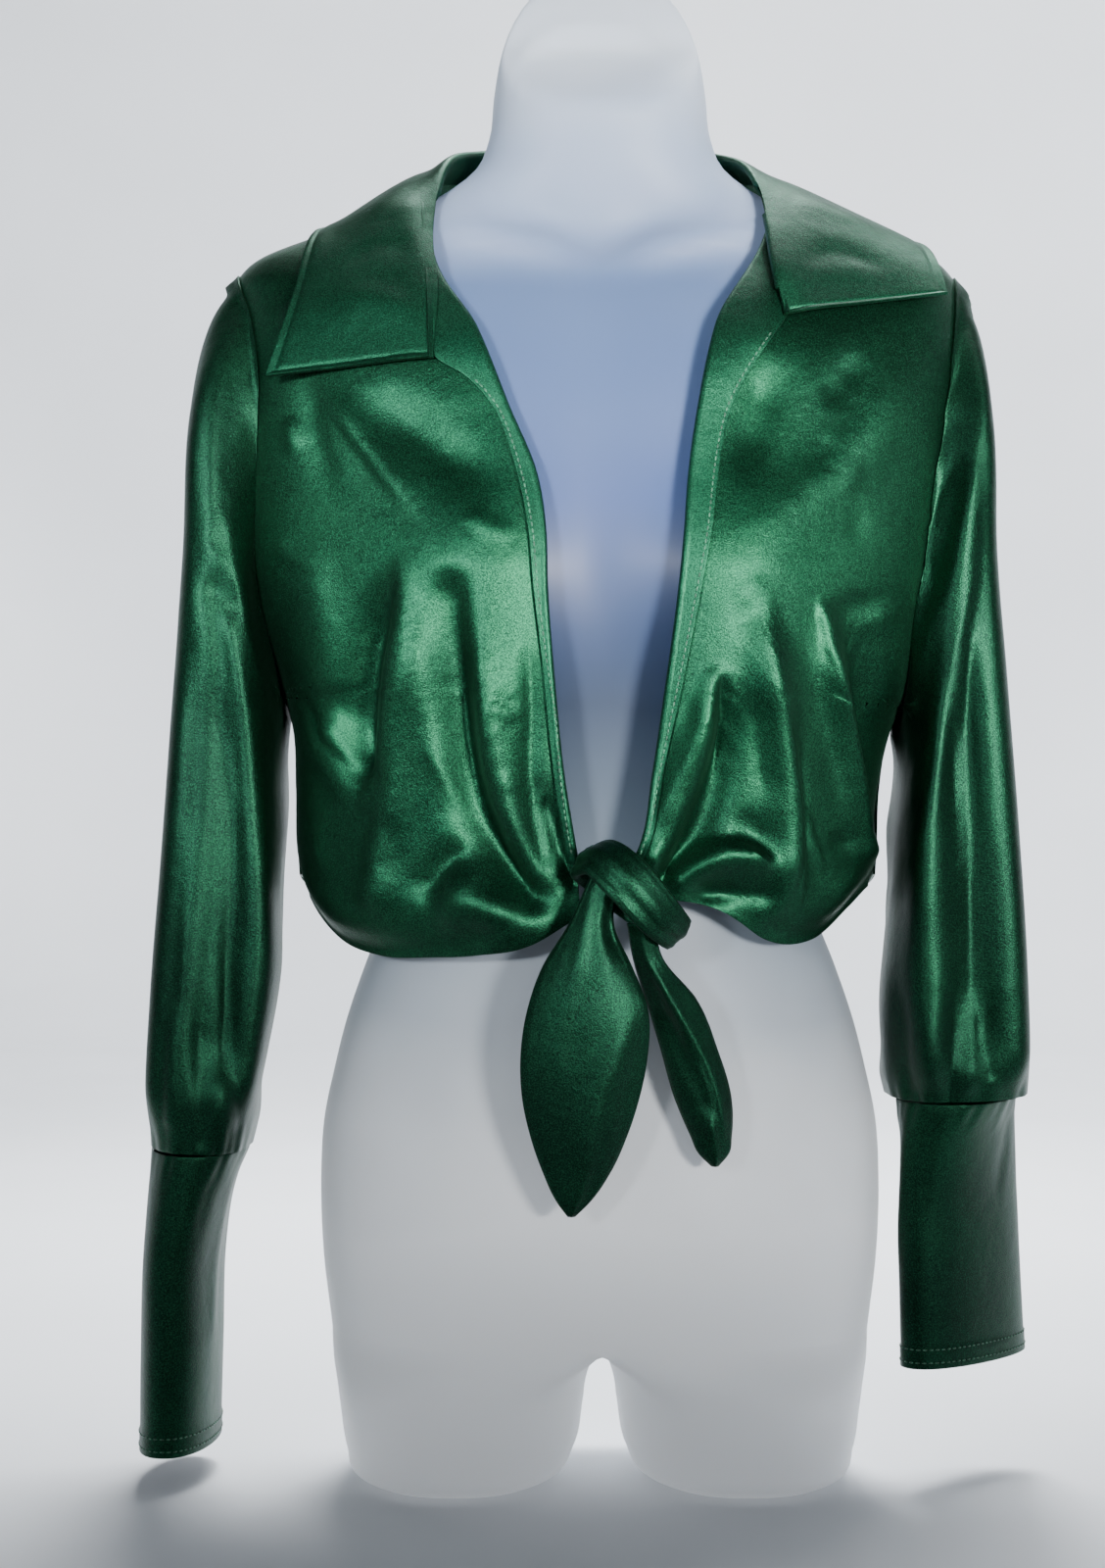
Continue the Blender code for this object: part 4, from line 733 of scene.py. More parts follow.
def armhole_angle(side, height, face):
    outside = (height <= UNDERARM_HEIGHT[side]) | (height >= SHOULDER_HEIGHT[side])
    seam = angle_at(side, height, read(ARMHOLE, f"{SIDE[side]}_{face}", height))
    return np.where(outside, 0.0, seam)


def ridge_height(side, x):
    """The height of the shoulder seam at a distance from the centre line."""
    low = np.full_like(x, SHOULDER_HEIGHT[side])
    high = np.full_like(x, NECK_POINT_HEIGHT)
    for _ in range(30):
        middle = (low + high) / 2
        wider = bodice_width(side, middle) > x
        low, high = np.where(wider, middle, low), np.where(wider, high, middle)
    return low


def fold_rise(folds, x, z):
    """The sum of the large folds' rises at points seen from the front or back."""
    total = np.zeros_like(x)
    steps = np.linspace(0, 1, 41)
    for k in range(len(folds["side"])):
        a, b, c = (np.array((folds[f"x{i}"][k], folds[f"z{i}"][k])) for i in range(3))
        line = np.outer((1 - steps) ** 2, a) + np.outer(2 * steps * (1 - steps), b) + np.outer(steps**2, c)
        away = np.hypot(x[:, None] - line[:, 0], z[:, None] - line[:, 1])
        near = away.argmin(axis=1)
        fade = ease(steps[near] / FOLD_START)
        rise = folds["rise"][k] * fade * np.exp(-((away.min(axis=1) / folds["width"][k]) ** 2))
        total += np.where(folds["side"][k] * x < -FOLD_CROSSING, 0.0, rise)
    return total


def soft_line(path, steps=28):
    """A smooth line of points through the few that a crease is given by."""
    at = np.concatenate(([0.0], np.cumsum(np.hypot(*np.diff(path, axis=0).T))))
    fine = np.linspace(0, at[-1], steps)
    by = {"by": "at", "at": at, "x": path[:, 0], "z": path[:, 1]}
    return np.stack([read(by, "x", fine), read(by, "z", fine)], axis=1)


def crease_rise(creases, side, x, z):
    """The sum of the smaller creases' rises. Each crease has its own height, its own reach to
    either hand of its line, and its own soft start and end."""
    total = np.zeros_like(x)
    for which, rise, left, right, start, end, *path in creases:
        if which != side:
            continue
        line = soft_line(np.array(path) / 1000)
        best = np.full_like(x, 9.0)
        hand, along = np.zeros_like(x), np.zeros_like(x)
        for k in range(len(line) - 1):
            (ax, az), (dx, dz) = line[k], line[k + 1] - line[k]
            t = np.clip(((x - ax) * dx + (z - az) * dz) / (dx * dx + dz * dz), 0, 1)
            ox, oz = x - ax - t * dx, z - az - t * dz
            away = np.hypot(ox, oz)
            nearer = away < best
            best = np.where(nearer, away, best)
            hand = np.where(nearer, dx * oz - dz * ox, hand)
            along = np.where(nearer, (k + t) / (len(line) - 1), along)
        reach = np.where(hand > 0, right, left) / 10000
        fade = ease(along / (start / 10)) * ease((1 - along) / (end / 10))
        total += rise / 10000 * fade * np.exp(-((best / reach) ** 2))
    return total


# Cloth: a fine grid, its place, its rest on what carries it, and its wall.


def cloth(steps, place, cut, closed=False):
    """A grid of cloth. place(u, v) sets its points; u runs across and v down it, from 0 to 1.
    Its UVs are in metres of the flat cut. Closed, the edges that meet are joined, to a tube."""
    bm = bmesh.new()
    bm.loops.layers.uv.new("cut")
    bmesh.ops.create_grid(bm, x_segments=steps[0], y_segments=steps[1], size=0.5, calc_uvs=True)
    at = np.array([v.co[:2] for v in bm.verts])
    at = (at - at.min(axis=0)) / np.ptp(at, axis=0)
    for v, p in zip(bm.verts, place(at[:, 0], 1.0 - at[:, 1])):
        v.co = p
    uv = bm.loops.layers.uv.active
    for f in bm.faces:
        for corner in f.loops:
            corner[uv].uv = (corner[uv].uv.x * cut[0], corner[uv].uv.y * cut[1])
    if closed:
        bmesh.ops.remove_doubles(bm, verts=bm.verts, dist=2e-6)
    return bm


def shares(bm, cut):
    """Each point's place across and down its sheet, from 0 to 1, from its UV map."""
    corners = {v: v.link_loops[0][bm.loops.layers.uv.active].uv for v in bm.verts}
    return {v: (at.x / cut[0], 1 - at.y / cut[1]) for v, at in corners.items()}


def smooth(bm, verts, factor, times):
    for _ in range(times):
        bmesh.ops.smooth_vert(
            bm, verts=verts, factor=factor, use_axis_x=True, use_axis_y=True, use_axis_z=True
        )


def lift_off(verts, tree, clear, reach=0.03):
    """Moves each point that lies nearer than clear to a surface, or inside it, straight out.
    Points further off than reach, such as those beyond a sheet's free edge, stay."""
    for v in verts:
        near, normal, _, away = tree.find_nearest(v.co)
        depth = (v.co - near).dot(normal)
        if depth < clear and away < reach:
            v.co += normal * (clear - depth)


def face_out(bm, inside):
    """Turns a sheet's faces away from a point inside the garment."""
    bmesh.ops.recalc_face_normals(bm, faces=bm.faces)
    middle = Vector(inside)
    facing = sum(f.normal.dot(f.calc_center_median() - middle) * f.calc_area() for f in bm.faces)
    if facing < 0:
        bmesh.ops.reverse_faces(bm, faces=bm.faces)
    bm.normal_update()


def skin_of(bm, thickness=0.0):
    """A sheet's outer skin, as points and faces to search."""
    bm.verts.index_update()
    return [v.co + v.normal * thickness for v in bm.verts], [[v.index for v in f.verts] for f in bm.faces]


def tree_of(*skins):
    """A search tree over one or more skins."""
    points, faces = [], []
    for skin_points, skin_faces in skins:
        faces += [[i + len(points) for i in face] for face in skin_faces]
        points += skin_points
    return BVHTree.FromPolygons(points, faces)


def ripple(bm, rises):
    """Moves each point along its own normal by its own rise."""
    bm.normal_update()
    for v, rise in zip(bm.verts, rises):
        v.co += v.normal * float(rise)
    bm.normal_update()


def new_object(name, data):
    """Data as an object of its own in the scene."""
    item = bpy.data.objects.new(name, data)
    bpy.context.scene.collection.objects.link(item)
    return item


def new_mesh(name, bm, finish):
    """The finished bmesh as a smooth object."""
    mesh = bpy.data.meshes.new(name)
    bm.to_mesh(mesh)
    bm.free()
    mesh.materials.append(finish)
    mesh.shade_smooth()
    return new_object(name, mesh)


def add_piece(name, bm, finish, node, thickness=0.0, soft_edge=0.0, stands_for=True):
    """The finished bmesh as a named piece at the solids' place, with its wall and its edge."""
    bmesh.ops.translate(bm, verts=bm.verts, vec=Vector(PLACE))
    piece = new_mesh(name, bm, finish)
    if thickness:
        shell = piece.modifiers.new("wall", "SOLIDIFY")
        shell.thickness, shell.offset = thickness, 1.0
        shell.use_rim = True
    if soft_edge:
        edge = piece.modifiers.new("soft edge", "BEVEL")
        edge.width, edge.segments = soft_edge, 2
        edge.limit_method, edge.angle_limit = "ANGLE", math.radians(50)
    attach(piece, "root")
    if stands_for:
        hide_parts(node)
    return piece


def stitches(name, rows, finish, node):
    """Rows of small sewn stitches. Each row is a list of (point, outward normal)."""
    bm = bmesh.new()
    for row in rows:
        points = np.array([p[:] for p, _ in row])
        outs = np.array([n[:] for _, n in row])
        at = np.concatenate(([0.0], np.cumsum(np.linalg.norm(np.diff(points, axis=0), axis=1))))
        for middle in np.arange(STITCH_EVERY / 2, at[-1], STITCH_EVERY):
            here, ahead, out = (
                Vector([np.interp(x, at, values[:, i]) for i in range(3)])
                for x, values in ((middle, points), (middle + 0.0008, points), (middle, outs))
            )
            if (ahead - here).length < 1e-5:
                continue
            along = (ahead - here).normalized()
            out = (out - along * out.dot(along)).normalized()
            turn = Matrix((along, out.cross(along), out)).transposed().to_4x4()
            size = Matrix.Diagonal((STITCH_LONG / 2, STITCH_HALF, STITCH_HALF * 0.8, 1.0))
            stand = Matrix.Translation(here + out * STITCH_HALF * 0.35)
            bmesh.ops.create_uvsphere(bm, u_segments=6, v_segments=4, radius=1.0, matrix=stand @ turn @ size)
    return add_piece(name, bm, finish, node, stands_for=False)


def row_on(skin_tree, points):
    """Points laid on a skin, each with the skin's own outward normal."""
    return [skin_tree.find_nearest(Vector(p))[:2] for p in points]


# The pieces.


def front_place(side):
    """Where the front's sheet runs: u from the armhole and side seam to the free edge, v down
    from the shoulder seam to the hem."""
    name = SIDE[side]
    ridge_out = bodice_width(side, SHOULDER_HEIGHT[side])
    ridge_in = bodice_width(side, NECK_POINT_HEIGHT)

    def place(u, v):
        v = v**ROWS_CLOSER
        ridge_x = mix(ridge_out, ridge_in, u)
        top = ridge_height(side, ridge_x)
        hem = read(FRONT_HEM, name, u)
        height = mix(top, hem, v)
        edge_x = read(FRONT_EDGE, name, height)
        arm = armhole_angle(side, height, "front")
        by_angle = mix(arm, angle_at(side, height, edge_x), u)
        arm_x = bodice_width(side, height) * rounded(arm, BODICE_ROUNDNESS)[0]
        x = mix(ridge_x, mix(arm_x, edge_x, u), ease(v / SHOULDER_SHARE["front"]))
        by_x = angle_at(side, height, np.minimum(x, bodice_width(side, height)))
        angle = mix(by_x, by_angle, ease((CHEST_HEIGHT - height) / CHEST_OVER))
        angle = np.maximum(angle, SEAM_ANGLE)
        p = bodice_points(side, height, angle)
        out = stack(side * np.cos(angle), -np.sin(angle), 0.0)
        rise = fold_rise(FRONT_FOLDS, p[:, 0], p[:, 2])
        rise += crease_rise(FRONT_CREASES, side, p[:, 0], p[:, 2])
        roll = ease(1 - (height - hem) / HEM_ROLL_HEIGHT) ** 2
        rise -= HEM_ROLL_IN * roll * np.sin(np.pi * np.clip(u * 1.1, 0.12, 0.97))
        return p + out * rise[:, None]

    return place


def back_place(u, v):
    """Where the back's sheet runs: u from the right side seam to the left, v down to the hem."""
    points = np.zeros((len(u), 3))
    for side, mine in ((RIGHT, u < 0.5), (LEFT, u >= 0.5)):
        middle = np.abs(u[mine] - 0.5) * 2
        ridge_out = bodice_width(side, SHOULDER_HEIGHT[side])
        ridge_in = bodice_width(side, NECK_POINT_HEIGHT)
        down = v[mine] ** ROWS_CLOSER
        ridge_x = mix(ridge_in, ridge_out, np.maximum(middle - NECK_SHARE, 0.0) / (1 - NECK_SHARE))
        hem = BACK_HEM_HEIGHT + BACK_HEM_RISE * middle**2 + BACK_HEM_CORNER * middle**8
        height = mix(ridge_height(side, ridge_x), hem, down)
        arm = armhole_angle(side, height, "back")
        by_angle = mix(np.pi / 2, arm, middle)
        start = mix(np.pi / 2, 0.0, np.minimum(middle / NECK_SHARE, 1.0))
        angle = mix(start, by_angle, ease(down / SHOULDER_SHARE["back"]))
        angle = np.maximum(angle, SEAM_ANGLE)
        p = bodice_points(side, height, -angle)
        out = stack(side * np.cos(angle), np.sin(angle), 0.0)
        rise = fold_rise(BACK_FOLDS, p[:, 0], p[:, 2])
        for which in (RIGHT, LEFT):
            rise += crease_rise(BACK_CREASES, which, p[:, 0], p[:, 2])
        points[mine] = p + out * rise[:, None]
    return points


def make_form(finish):
    """The torso's two halves, their thigh stubs, the flat ends and the neck's tab. It gives a
    search tree over the plain skin that the cloth rests on."""
    around, tall, inner, low = FORM_STEPS
    corner = 118.0
    bottom = FORM["height"][0]

    def torso(u, v):
        height = mix(FORM["height"][-1], bottom, v**0.9)
        return form_points(height, np.radians(mix(-90.0, 90.0, u)))

    def thigh(u, v):
        step = u * (around + inner)
        outer = step <= around + 1e-6
        share = np.where(outer, step / around, (step - around) / inner)
        turn = np.where(outer, mix(-corner, corner, share), mix(corner, 360.0 - corner, share))
        top = form_points(np.full_like(u, bottom), np.radians(mix(-90.0, 90.0, share)))
        front, back = top[:, 1].min(), top[:, 1].max()
        saddle = stack(0.0, mix(back, front, share), CROTCH_HEIGHT)
        ring = np.where(outer[:, None], top, saddle)
        height = mix(bottom, 0.0, ease(v) ** 0.8)
        p = thigh_points(height, np.radians(turn))
        blend = 1 - ease((bottom - height) / 0.030)
        start = thigh_points(np.full_like(u, THIGH["height"][-1]), np.radians(turn))
        shift = (ring - start) * blend[:, None]
        shift[:, 2] = 0.0
        p = p + shift
        return np.where((v < 1e-9)[:, None], ring, p)

    bm = cloth((around, tall), torso, WHOLE)
    lower = cloth((around + inner, low), thigh, WHOLE)
    extra = bpy.data.meshes.new("thigh")
    lower.to_mesh(extra)
    lower.free()
    bm.from_mesh(extra)
    bpy.data.meshes.remove(extra)
    for v in bm.verts:
        if abs(v.co.x) < 2e-4:
            v.co.x = 0.0
    bmesh.ops.mirror(bm, geom=bm.verts[:] + bm.edges[:] + bm.faces[:], axis="X", merge_dist=0.0)
    bmesh.ops.remove_doubles(bm, verts=bm.verts, dist=6e-5)
    bmesh.ops.holes_fill(bm, edges=[e for e in bm.edges if e.is_boundary], sides=0)
    bmesh.ops.recalc_face_normals(bm, faces=bm.faces)
    smooth(bm, [v for v in bm.verts if 0.045 < v.co.z < 0.092 and abs(v.co.x) < 0.07], 0.4, 6)
    face_out(bm, (0.0, 0.0, 0.4))
    tree = tree_of(skin_of(bm))
    at, out = (np.array(values) for values in zip(*((v.co[:], v.normal[:]) for v in bm.verts)))
    ripple(bm, crease_rise(FORM_CREASES, 0, at[:, 0], at[:, 2]) * ease(-2.0 * out[:, 1]))
    add_piece("form_shell", bm, finish, "torso_form")
    return tree


def on_front(tree, x, z, lift):
    """The point on the blouse's front at (x, z), moved forward by lift."""
    hit = tree.ray_cast(Vector((x, -0.4, z)), Vector((0, 1, 0)))[0]
    if hit is None or hit.y > 0:
        hit = tree.find_nearest(Vector((x, -0.08, z)))[0]
    return (x, hit.y - lift, z)


def lapel_place(side, tree):
    """The front's edge turned back on itself: a round fold, then the strip lying on the front.
    It runs up under the collar to the neck, where the fold dies out."""
    rim = front_place(side)(np.ones(500), np.linspace(0, 1, 500))[::-1]
    turn = LAPEL_FOLD_SHARE

    def place(u, v):
        outer_top, inner_top = LAPEL_HEAD[side]
        height = mix(mix(inner_top, outer_top, u), LAPEL_FOOT, v)
        edge = np.interp(height, rim[:, 2], np.abs(rim[:, 0])) + 0.0004
        outer = np.maximum(read(LAPEL_EDGE, SIDE[side], height), edge + 0.003)
        radius = mix(*LAPEL_RADIUS, ease((height - 0.575) / 0.05))
        t = np.clip((u - turn) / (1 - turn), 0, 1)
        swing = np.pi * (np.clip(u / turn, 0, 1) - 0.5)
        x = np.where(u < turn, edge - radius * np.cos(swing), mix(edge, outer, t))
        rest = mix(*LAPEL_REST, ease((height - 0.585) / 0.02))
        lift = np.where(u < turn, radius * (1 + np.sin(swing)), mix(2 * radius, rest, t**0.7))
        settle = ease((height - 0.325) / 0.03)
        rows = []
        for a, b, c, e in zip(x, height, 0.0003 + lift * mix(0.5, 1.0, settle), edge):
            under = on_front(tree, side * max(a, e + 0.0012), b, c)
            rows.append((side * a, under[1], b))
        return np.array(rows)

    return place


def closer_to_ends(t):
    """Spreads a grid's lines so that they lie closer together near both of its edges."""
    return t - 0.65 * np.sin(2 * np.pi * t) / (2 * np.pi)


def collar_coarse(u, v):
    """u runs round the neck from corner to corner; v from the neck seam over the roll to the edge."""
    seam, roll, edge = (stack(*[read(COLLAR, f"{line}{axis}", u) for axis in "xyz"]) for line in "sre")
    stand = np.clip(v / COLLAR_STAND, 0, 1)[:, None]
    t = np.clip((v - COLLAR_STAND) / (1 - COLLAR_STAND), 0, 1)
    rise = 0.010 * np.sin(np.pi * t**0.6) * ease(np.minimum(u, 1 - u) / 0.2)
    low = mix(seam, roll, np.sin(stand * np.pi / 2))
    high = mix(roll, edge, t[:, None]) + stack(0.0, 0.0, rise)
    return np.where((v < COLLAR_STAND)[:, None], low, high)


def relax(bm, share):
    """Draws each point towards the middle of its neighbours; a rim point only along the rim."""
    goals = {}
    for v in bm.verts:
        edges = [e for e in v.link_edges if e.is_boundary] if v.is_boundary else v.link_edges
        if v.is_boundary and len(v.link_faces) == 1:
            continue
        near = [e.other_vert(v).co for e in edges]
        goals[v] = sum(near, Vector()) / len(near)
    for v, goal in goals.items():
        v.co = v.co.lerp(goal, share)


def rolled(drape):
    """The collar's fine shape: the settled fall, and over it a soft round roll that turns down
    inside to the neck seam. The two walls of the roll stand ROLL_WIDE apart."""
    fall = COLLAR_STAND + ROLL_SHARE

    def place(u, v):
        seam, start = drape(u, np.zeros_like(u)), drape(u, np.full_like(u, fall))
        roll = collar_coarse(u, np.full_like(u, COLLAR_STAND))
        roll[:, 2] += ROLL_RAISE * ease((0.32 - np.abs(u - 0.5)) / 0.12)
        out = roll * (1.0, 1.0, 0.0)
        out = out / np.linalg.norm(out, axis=1)[:, None] * ROLL_WIDE
        up = (roll - (seam + start) / 2) / 3
        t = np.clip(v / fall, 0, 1)[:, None]
        over = (
            seam * (1 - t) ** 3 + 3 * (roll + up - out) * t * (1 - t) ** 2
            + 3 * (roll + up + out) * t * t * (1 - t) + start * t**3
        )
        return np.where((v < fall)[:, None], over, drape(u, v))

    return place


def relax_rim(bm):
    """Smooths a sheet's rim along itself, and leaves its corners where they are."""
    rim = [v for v in bm.verts if v.is_boundary and len(v.link_faces) > 1]
    goals = []
    for v in rim:
        near = [e.other_vert(v).co for e in v.link_edges if e.is_boundary]
        goals.append((near[0] + near[1]) / 2)
    for v, goal in zip(rim, goals):
        v.co = v.co.lerp(goal, 0.5)


def settled_collar(body_tree, form_tree):
    """The collar as its solid has it, settled on the shoulders, as a coarse net of points."""
    across, along = COLLAR_COARSE
    bm = cloth(COLLAR_COARSE, collar_coarse, WHOLE)
    where = {v: (round(u * across), round(d * along)) for v, (u, d) in shares(bm, WHOLE).items()}
    rise = 1 + int(COLLAR_STAND * along)
    stand = [v for v, (_, j) in where.items() if j < rise]
    fall = [v for v, (_, j) in where.items() if j >= rise]
    for _ in range(COLLAR_SETTLING):
        relax(bm, 0.3)
        lift_off(bm.verts, form_tree, COARSE_FORM_CLEAR)
        lift_off(stand, body_tree, COLLAR_STAND_CLEAR)
        lift_off(fall, body_tree, COLLAR_CLEAR)
    net = np.zeros((across + 1, along + 1, 3))
    for v, (i, j) in where.items():
        net[i, j] = v.co
    bm.free()
    return net


def netted(net):
    """Smooth places between a coarse net's points."""
    across, along = net.shape[0] - 1, net.shape[1] - 1
    slopes = np.gradient(net, axis=0)

    def place(u, v):
        i = np.clip(np.floor(u * across).astype(int), 0, across - 1)
        t = (u * across - i)[:, None, None]
        rows = curve(net[i], net[i + 1], slopes[i], slopes[i + 1], t)
        drops = np.gradient(rows, axis=1)
        j = np.clip(np.floor(v * along).astype(int), 0, along - 1)
        k = np.arange(len(u))
        t = (v * along - j)[:, None]
        return curve(rows[k, j], rows[k, j + 1], drops[k, j], drops[k, j + 1], t)

    return place


def armhole_points(side, height, before):
    """Points of the armhole seam, on the body."""
    front = bodice_points(side, height, armhole_angle(side, height, "front"))
    back = bodice_points(side, height, -armhole_angle(side, height, "back"))
    return np.where(before[:, None], front, back)


def sleeve_fold(side, degrees, down):
    total = np.zeros_like(degrees)
    for k in range(len(SLEEVE_FOLDS["side"])):
        if SLEEVE_FOLDS["side"][k] != side:
            continue
        start, end = SLEEVE_FOLDS["start"][k], SLEEVE_FOLDS["end"][k]
        fade = ease((down - start) / 0.2) * ease((end - down) / 0.1)
        middle = SLEEVE_FOLDS["angle"][k] + SLEEVE_FOLDS["turn"][k] * down
        away = (degrees - middle + 180) % 360 - 180
        total += SLEEVE_FOLDS["rise"][k] * fade * np.exp(-((away / SLEEVE_FOLDS["width"][k]) ** 2))
    return total


def sleeve_place(side):
    """Where a sleeve runs: u round it from its outer line by the front, v down to the cuff."""
    sizes = SLEEVE[side]

    def ring(turn, down):
        outer = stack(read(sizes, "ox", down), 0.0, read(sizes, "oz", down))
        inner = stack(read(sizes, "ix", down), 0.0, read(sizes, "iz", down))
        across, deep = rounded(turn, SLEEVE_ROUNDNESS)
        reach = np.where(deep > 0, read(sizes, "front", down), read(sizes, "back", down))
        return (outer + inner) / 2 + (outer - inner) / 2 * across[:, None] + stack(0.0, -reach * deep, 0.0)

    def place(u, v):
        turn, down = 2 * np.pi * u, v
        p = ring(turn, down)
        start = ring(turn, np.zeros_like(down))
        top, bottom = SHOULDER_HEIGHT[side] - 0.0005, UNDERARM_HEIGHT[side] + 0.0005
        seam = armhole_points(side, np.clip(start[:, 2], bottom, top), np.sin(turn) > 0)
        deep = np.round(rounded(turn, SLEEVE_ROUNDNESS)[1], 9)
        seam[:, 1] = -np.sign(deep) * np.maximum(np.abs(seam[:, 1]), ARMHOLE_OPEN * np.abs(deep))
        seam[:, 0] -= side * ARMHOLE_SET_IN
        p = p + (seam - start) * (1 - ease(down / ARMHOLE_SHARE))[:, None]
        centre = (read(sizes, "ox", down) + read(sizes, "ix", down)) / 2
        out = stack(p[:, 0] - centre, p[:, 1], 0.0)
        out = out / np.maximum(np.linalg.norm(out, axis=1), 1e-6)[:, None]
        rise = sleeve_fold(side, np.degrees(turn), down)
        seen = ease(np.sin(turn) / 0.3)
        rise += seen * crease_rise(SLEEVE_CREASES, side, p[:, 0], p[:, 2])
        degrees = np.degrees(turn) % 360
        rise += crease_rise(SLEEVE_BACK_CREASES, side, degrees * SLEEVE_DEGREE, down * CUT["sleeve"][1])
        # The seam to the cuff draws the cloth into small gathers.
        gather = np.sin(turn * 17 + 2 * np.sin(turn * 3)) * np.sin(turn * 5 + 1.0)
        rise += SLEEVE_GATHER * gather * ease((down - 0.90) / 0.10)
        return p + out * rise[:, None]

    return place


def cuff_place(side):
    sizes = CUFF[side]
    low, high = sizes["height"][0], sizes["height"][-1]

    def place(u, v):
        height = mix(high, low, v)
        across, deep = rounded(2 * np.pi * u, CUFF_ROUNDNESS)
        turn = np.radians(read(sizes, "turn", height))
        a, b = read(sizes, "long", height) * across, read(sizes, "short", height) * deep
        x = read(sizes, "cx", height) + a * np.cos(turn) - b * np.sin(turn)
        y = read(sizes, "cy", height) + a * np.sin(turn) + b * np.cos(turn)
        dx, dy = x - read(sizes, "cx", height), y - read(sizes, "cy", height)
        size = np.maximum(np.hypot(dx, dy), 1e-6)
        rise = crease_rise(CUFF_CREASES, side, (u * 360 % 360) * CUFF_DEGREE, height)
        gather = np.sin(u * 2 * np.pi * 19 + 1.3 * np.sin(u * 12)) * np.sin(u * 23 + 0.5)
        rise += CUFF_GATHER * gather * ease((height - high + 0.020) / 0.020)
        # The hem is turned up inside, which leaves a soft step above the stitching.
        rise += HEM_STEP * ease((low + HEM_DEEP - height) / 0.0012)
        return stack(x + dx / size * rise, y + dy / size * rise, height)

    return place


def tail_place(side):
    """A tie end: a leaf of doubled cloth, thick where it is gathered, with one soft ridge."""
    sizes = TAIL[side]
    low, high = sizes["height"][0], sizes["height"][-1]

    def place(u, v):
        height = mix(high, low, v)
        across, deep = rounded(2 * np.pi * u, TIE_ROUNDNESS)
        wide = read(sizes, "width", height)
        x = read(sizes, "centre", height) + wide * across
        away = (across - read(sizes, "ridge", height)) / TAIL_RIDGE_WIDTH
        y = read(sizes, "front", height) + read(sizes, "bow", height) * across * across
        y = y - TAIL_RIDGE * np.exp(-away * away) * np.minimum(1.0, wide / 0.02)
        y = y - crease_rise(TAIL_CREASES, side, x, height)
        thick = read(sizes, "thick", height)
        # A finished edge: the two layers part a little just inside the seam.
        thick = thick * (1 + 0.25 * np.exp(-(((np.abs(across) - 0.90) / 0.05) ** 2)))
        return stack(x, y - thick * deep, height)

    return place


def knot_place(u, v):
    """The band of one tie end, wrapped once round the other: a flat ring of soft section."""

    def centre(t):
        return stack(*[read(KNOT, axis, t % 1.0) for axis in "xyz"])

    middle = np.mean([centre(np.array([t / 8]))[0] for t in range(8)], axis=0)
    here = centre(v)
    along = centre(v + 0.01) - centre(v - 0.01)
    along /= np.linalg.norm(along, axis=1)[:, None]
    out = here - middle
    out /= np.linalg.norm(out, axis=1)[:, None]
    side = np.cross(along, out)
    side /= np.linalg.norm(side, axis=1)[:, None]
    across, deep = rounded(2 * np.pi * u, TIE_ROUNDNESS)
    outer = np.maximum(deep, 0.0)
    groove = 1 + KNOT_GROOVE * np.cos(5 * across) * outer
    for start, drift, depth, narrow in KNOT_CREASES:
        away = (across - start - drift * np.sin(2 * np.pi * v)) / narrow
        groove = groove + depth * np.exp(-away * away) * outer
    thick = read(KNOT, "thick", v % 1.0) * groove
    wide = read(KNOT, "wide", v % 1.0) * across
    return here + side * wide[:, None] + out * (thick * deep)[:, None]


# Finishes.


def linear(code):
    """A colour's linear values from its six-figure code."""
    parts = [int(code[i : i + 2], 16) / 255 for i in (0, 2, 4)]
    return tuple(c / 12.92 if c <= 0.04045 else ((c + 0.055) / 1.055) ** 2.4 for c in parts) + (1.0,)


def settle(finish, node, inputs):
    """Gives a node's inputs their numbers, or links them to the outputs of other nodes."""
    for name, value in inputs.items():
        if isinstance(value, bpy.types.NodeSocket):
            finish.node_tree.links.new(value, node.inputs[name])
        else:
            node.inputs[name].default_value = value


def add(finish, kind, inputs=(), stops=(), **settings):
    """One node of a finish, with its inputs and settings. The stops of a ramp of colours are
    places from 0 to 1, each with a colour code."""
    node = finish.node_tree.nodes.new(kind)
    for name, value in settings.items():
        setattr(node, name, value)
    settle(finish, node, dict(inputs))
    for _ in stops[2:]:
        node.color_ramp.elements.new(0.5)
    for i, (place, code) in enumerate(stops):
        mark = node.color_ramp.elements[i]
        mark.position, mark.color = place, linear(code)
    return node


def blank(name):
    finish = bpy.data.materials.new(name)
    finish.use_nodes = True
    return finish, finish.node_tree.nodes["Principled BSDF"]


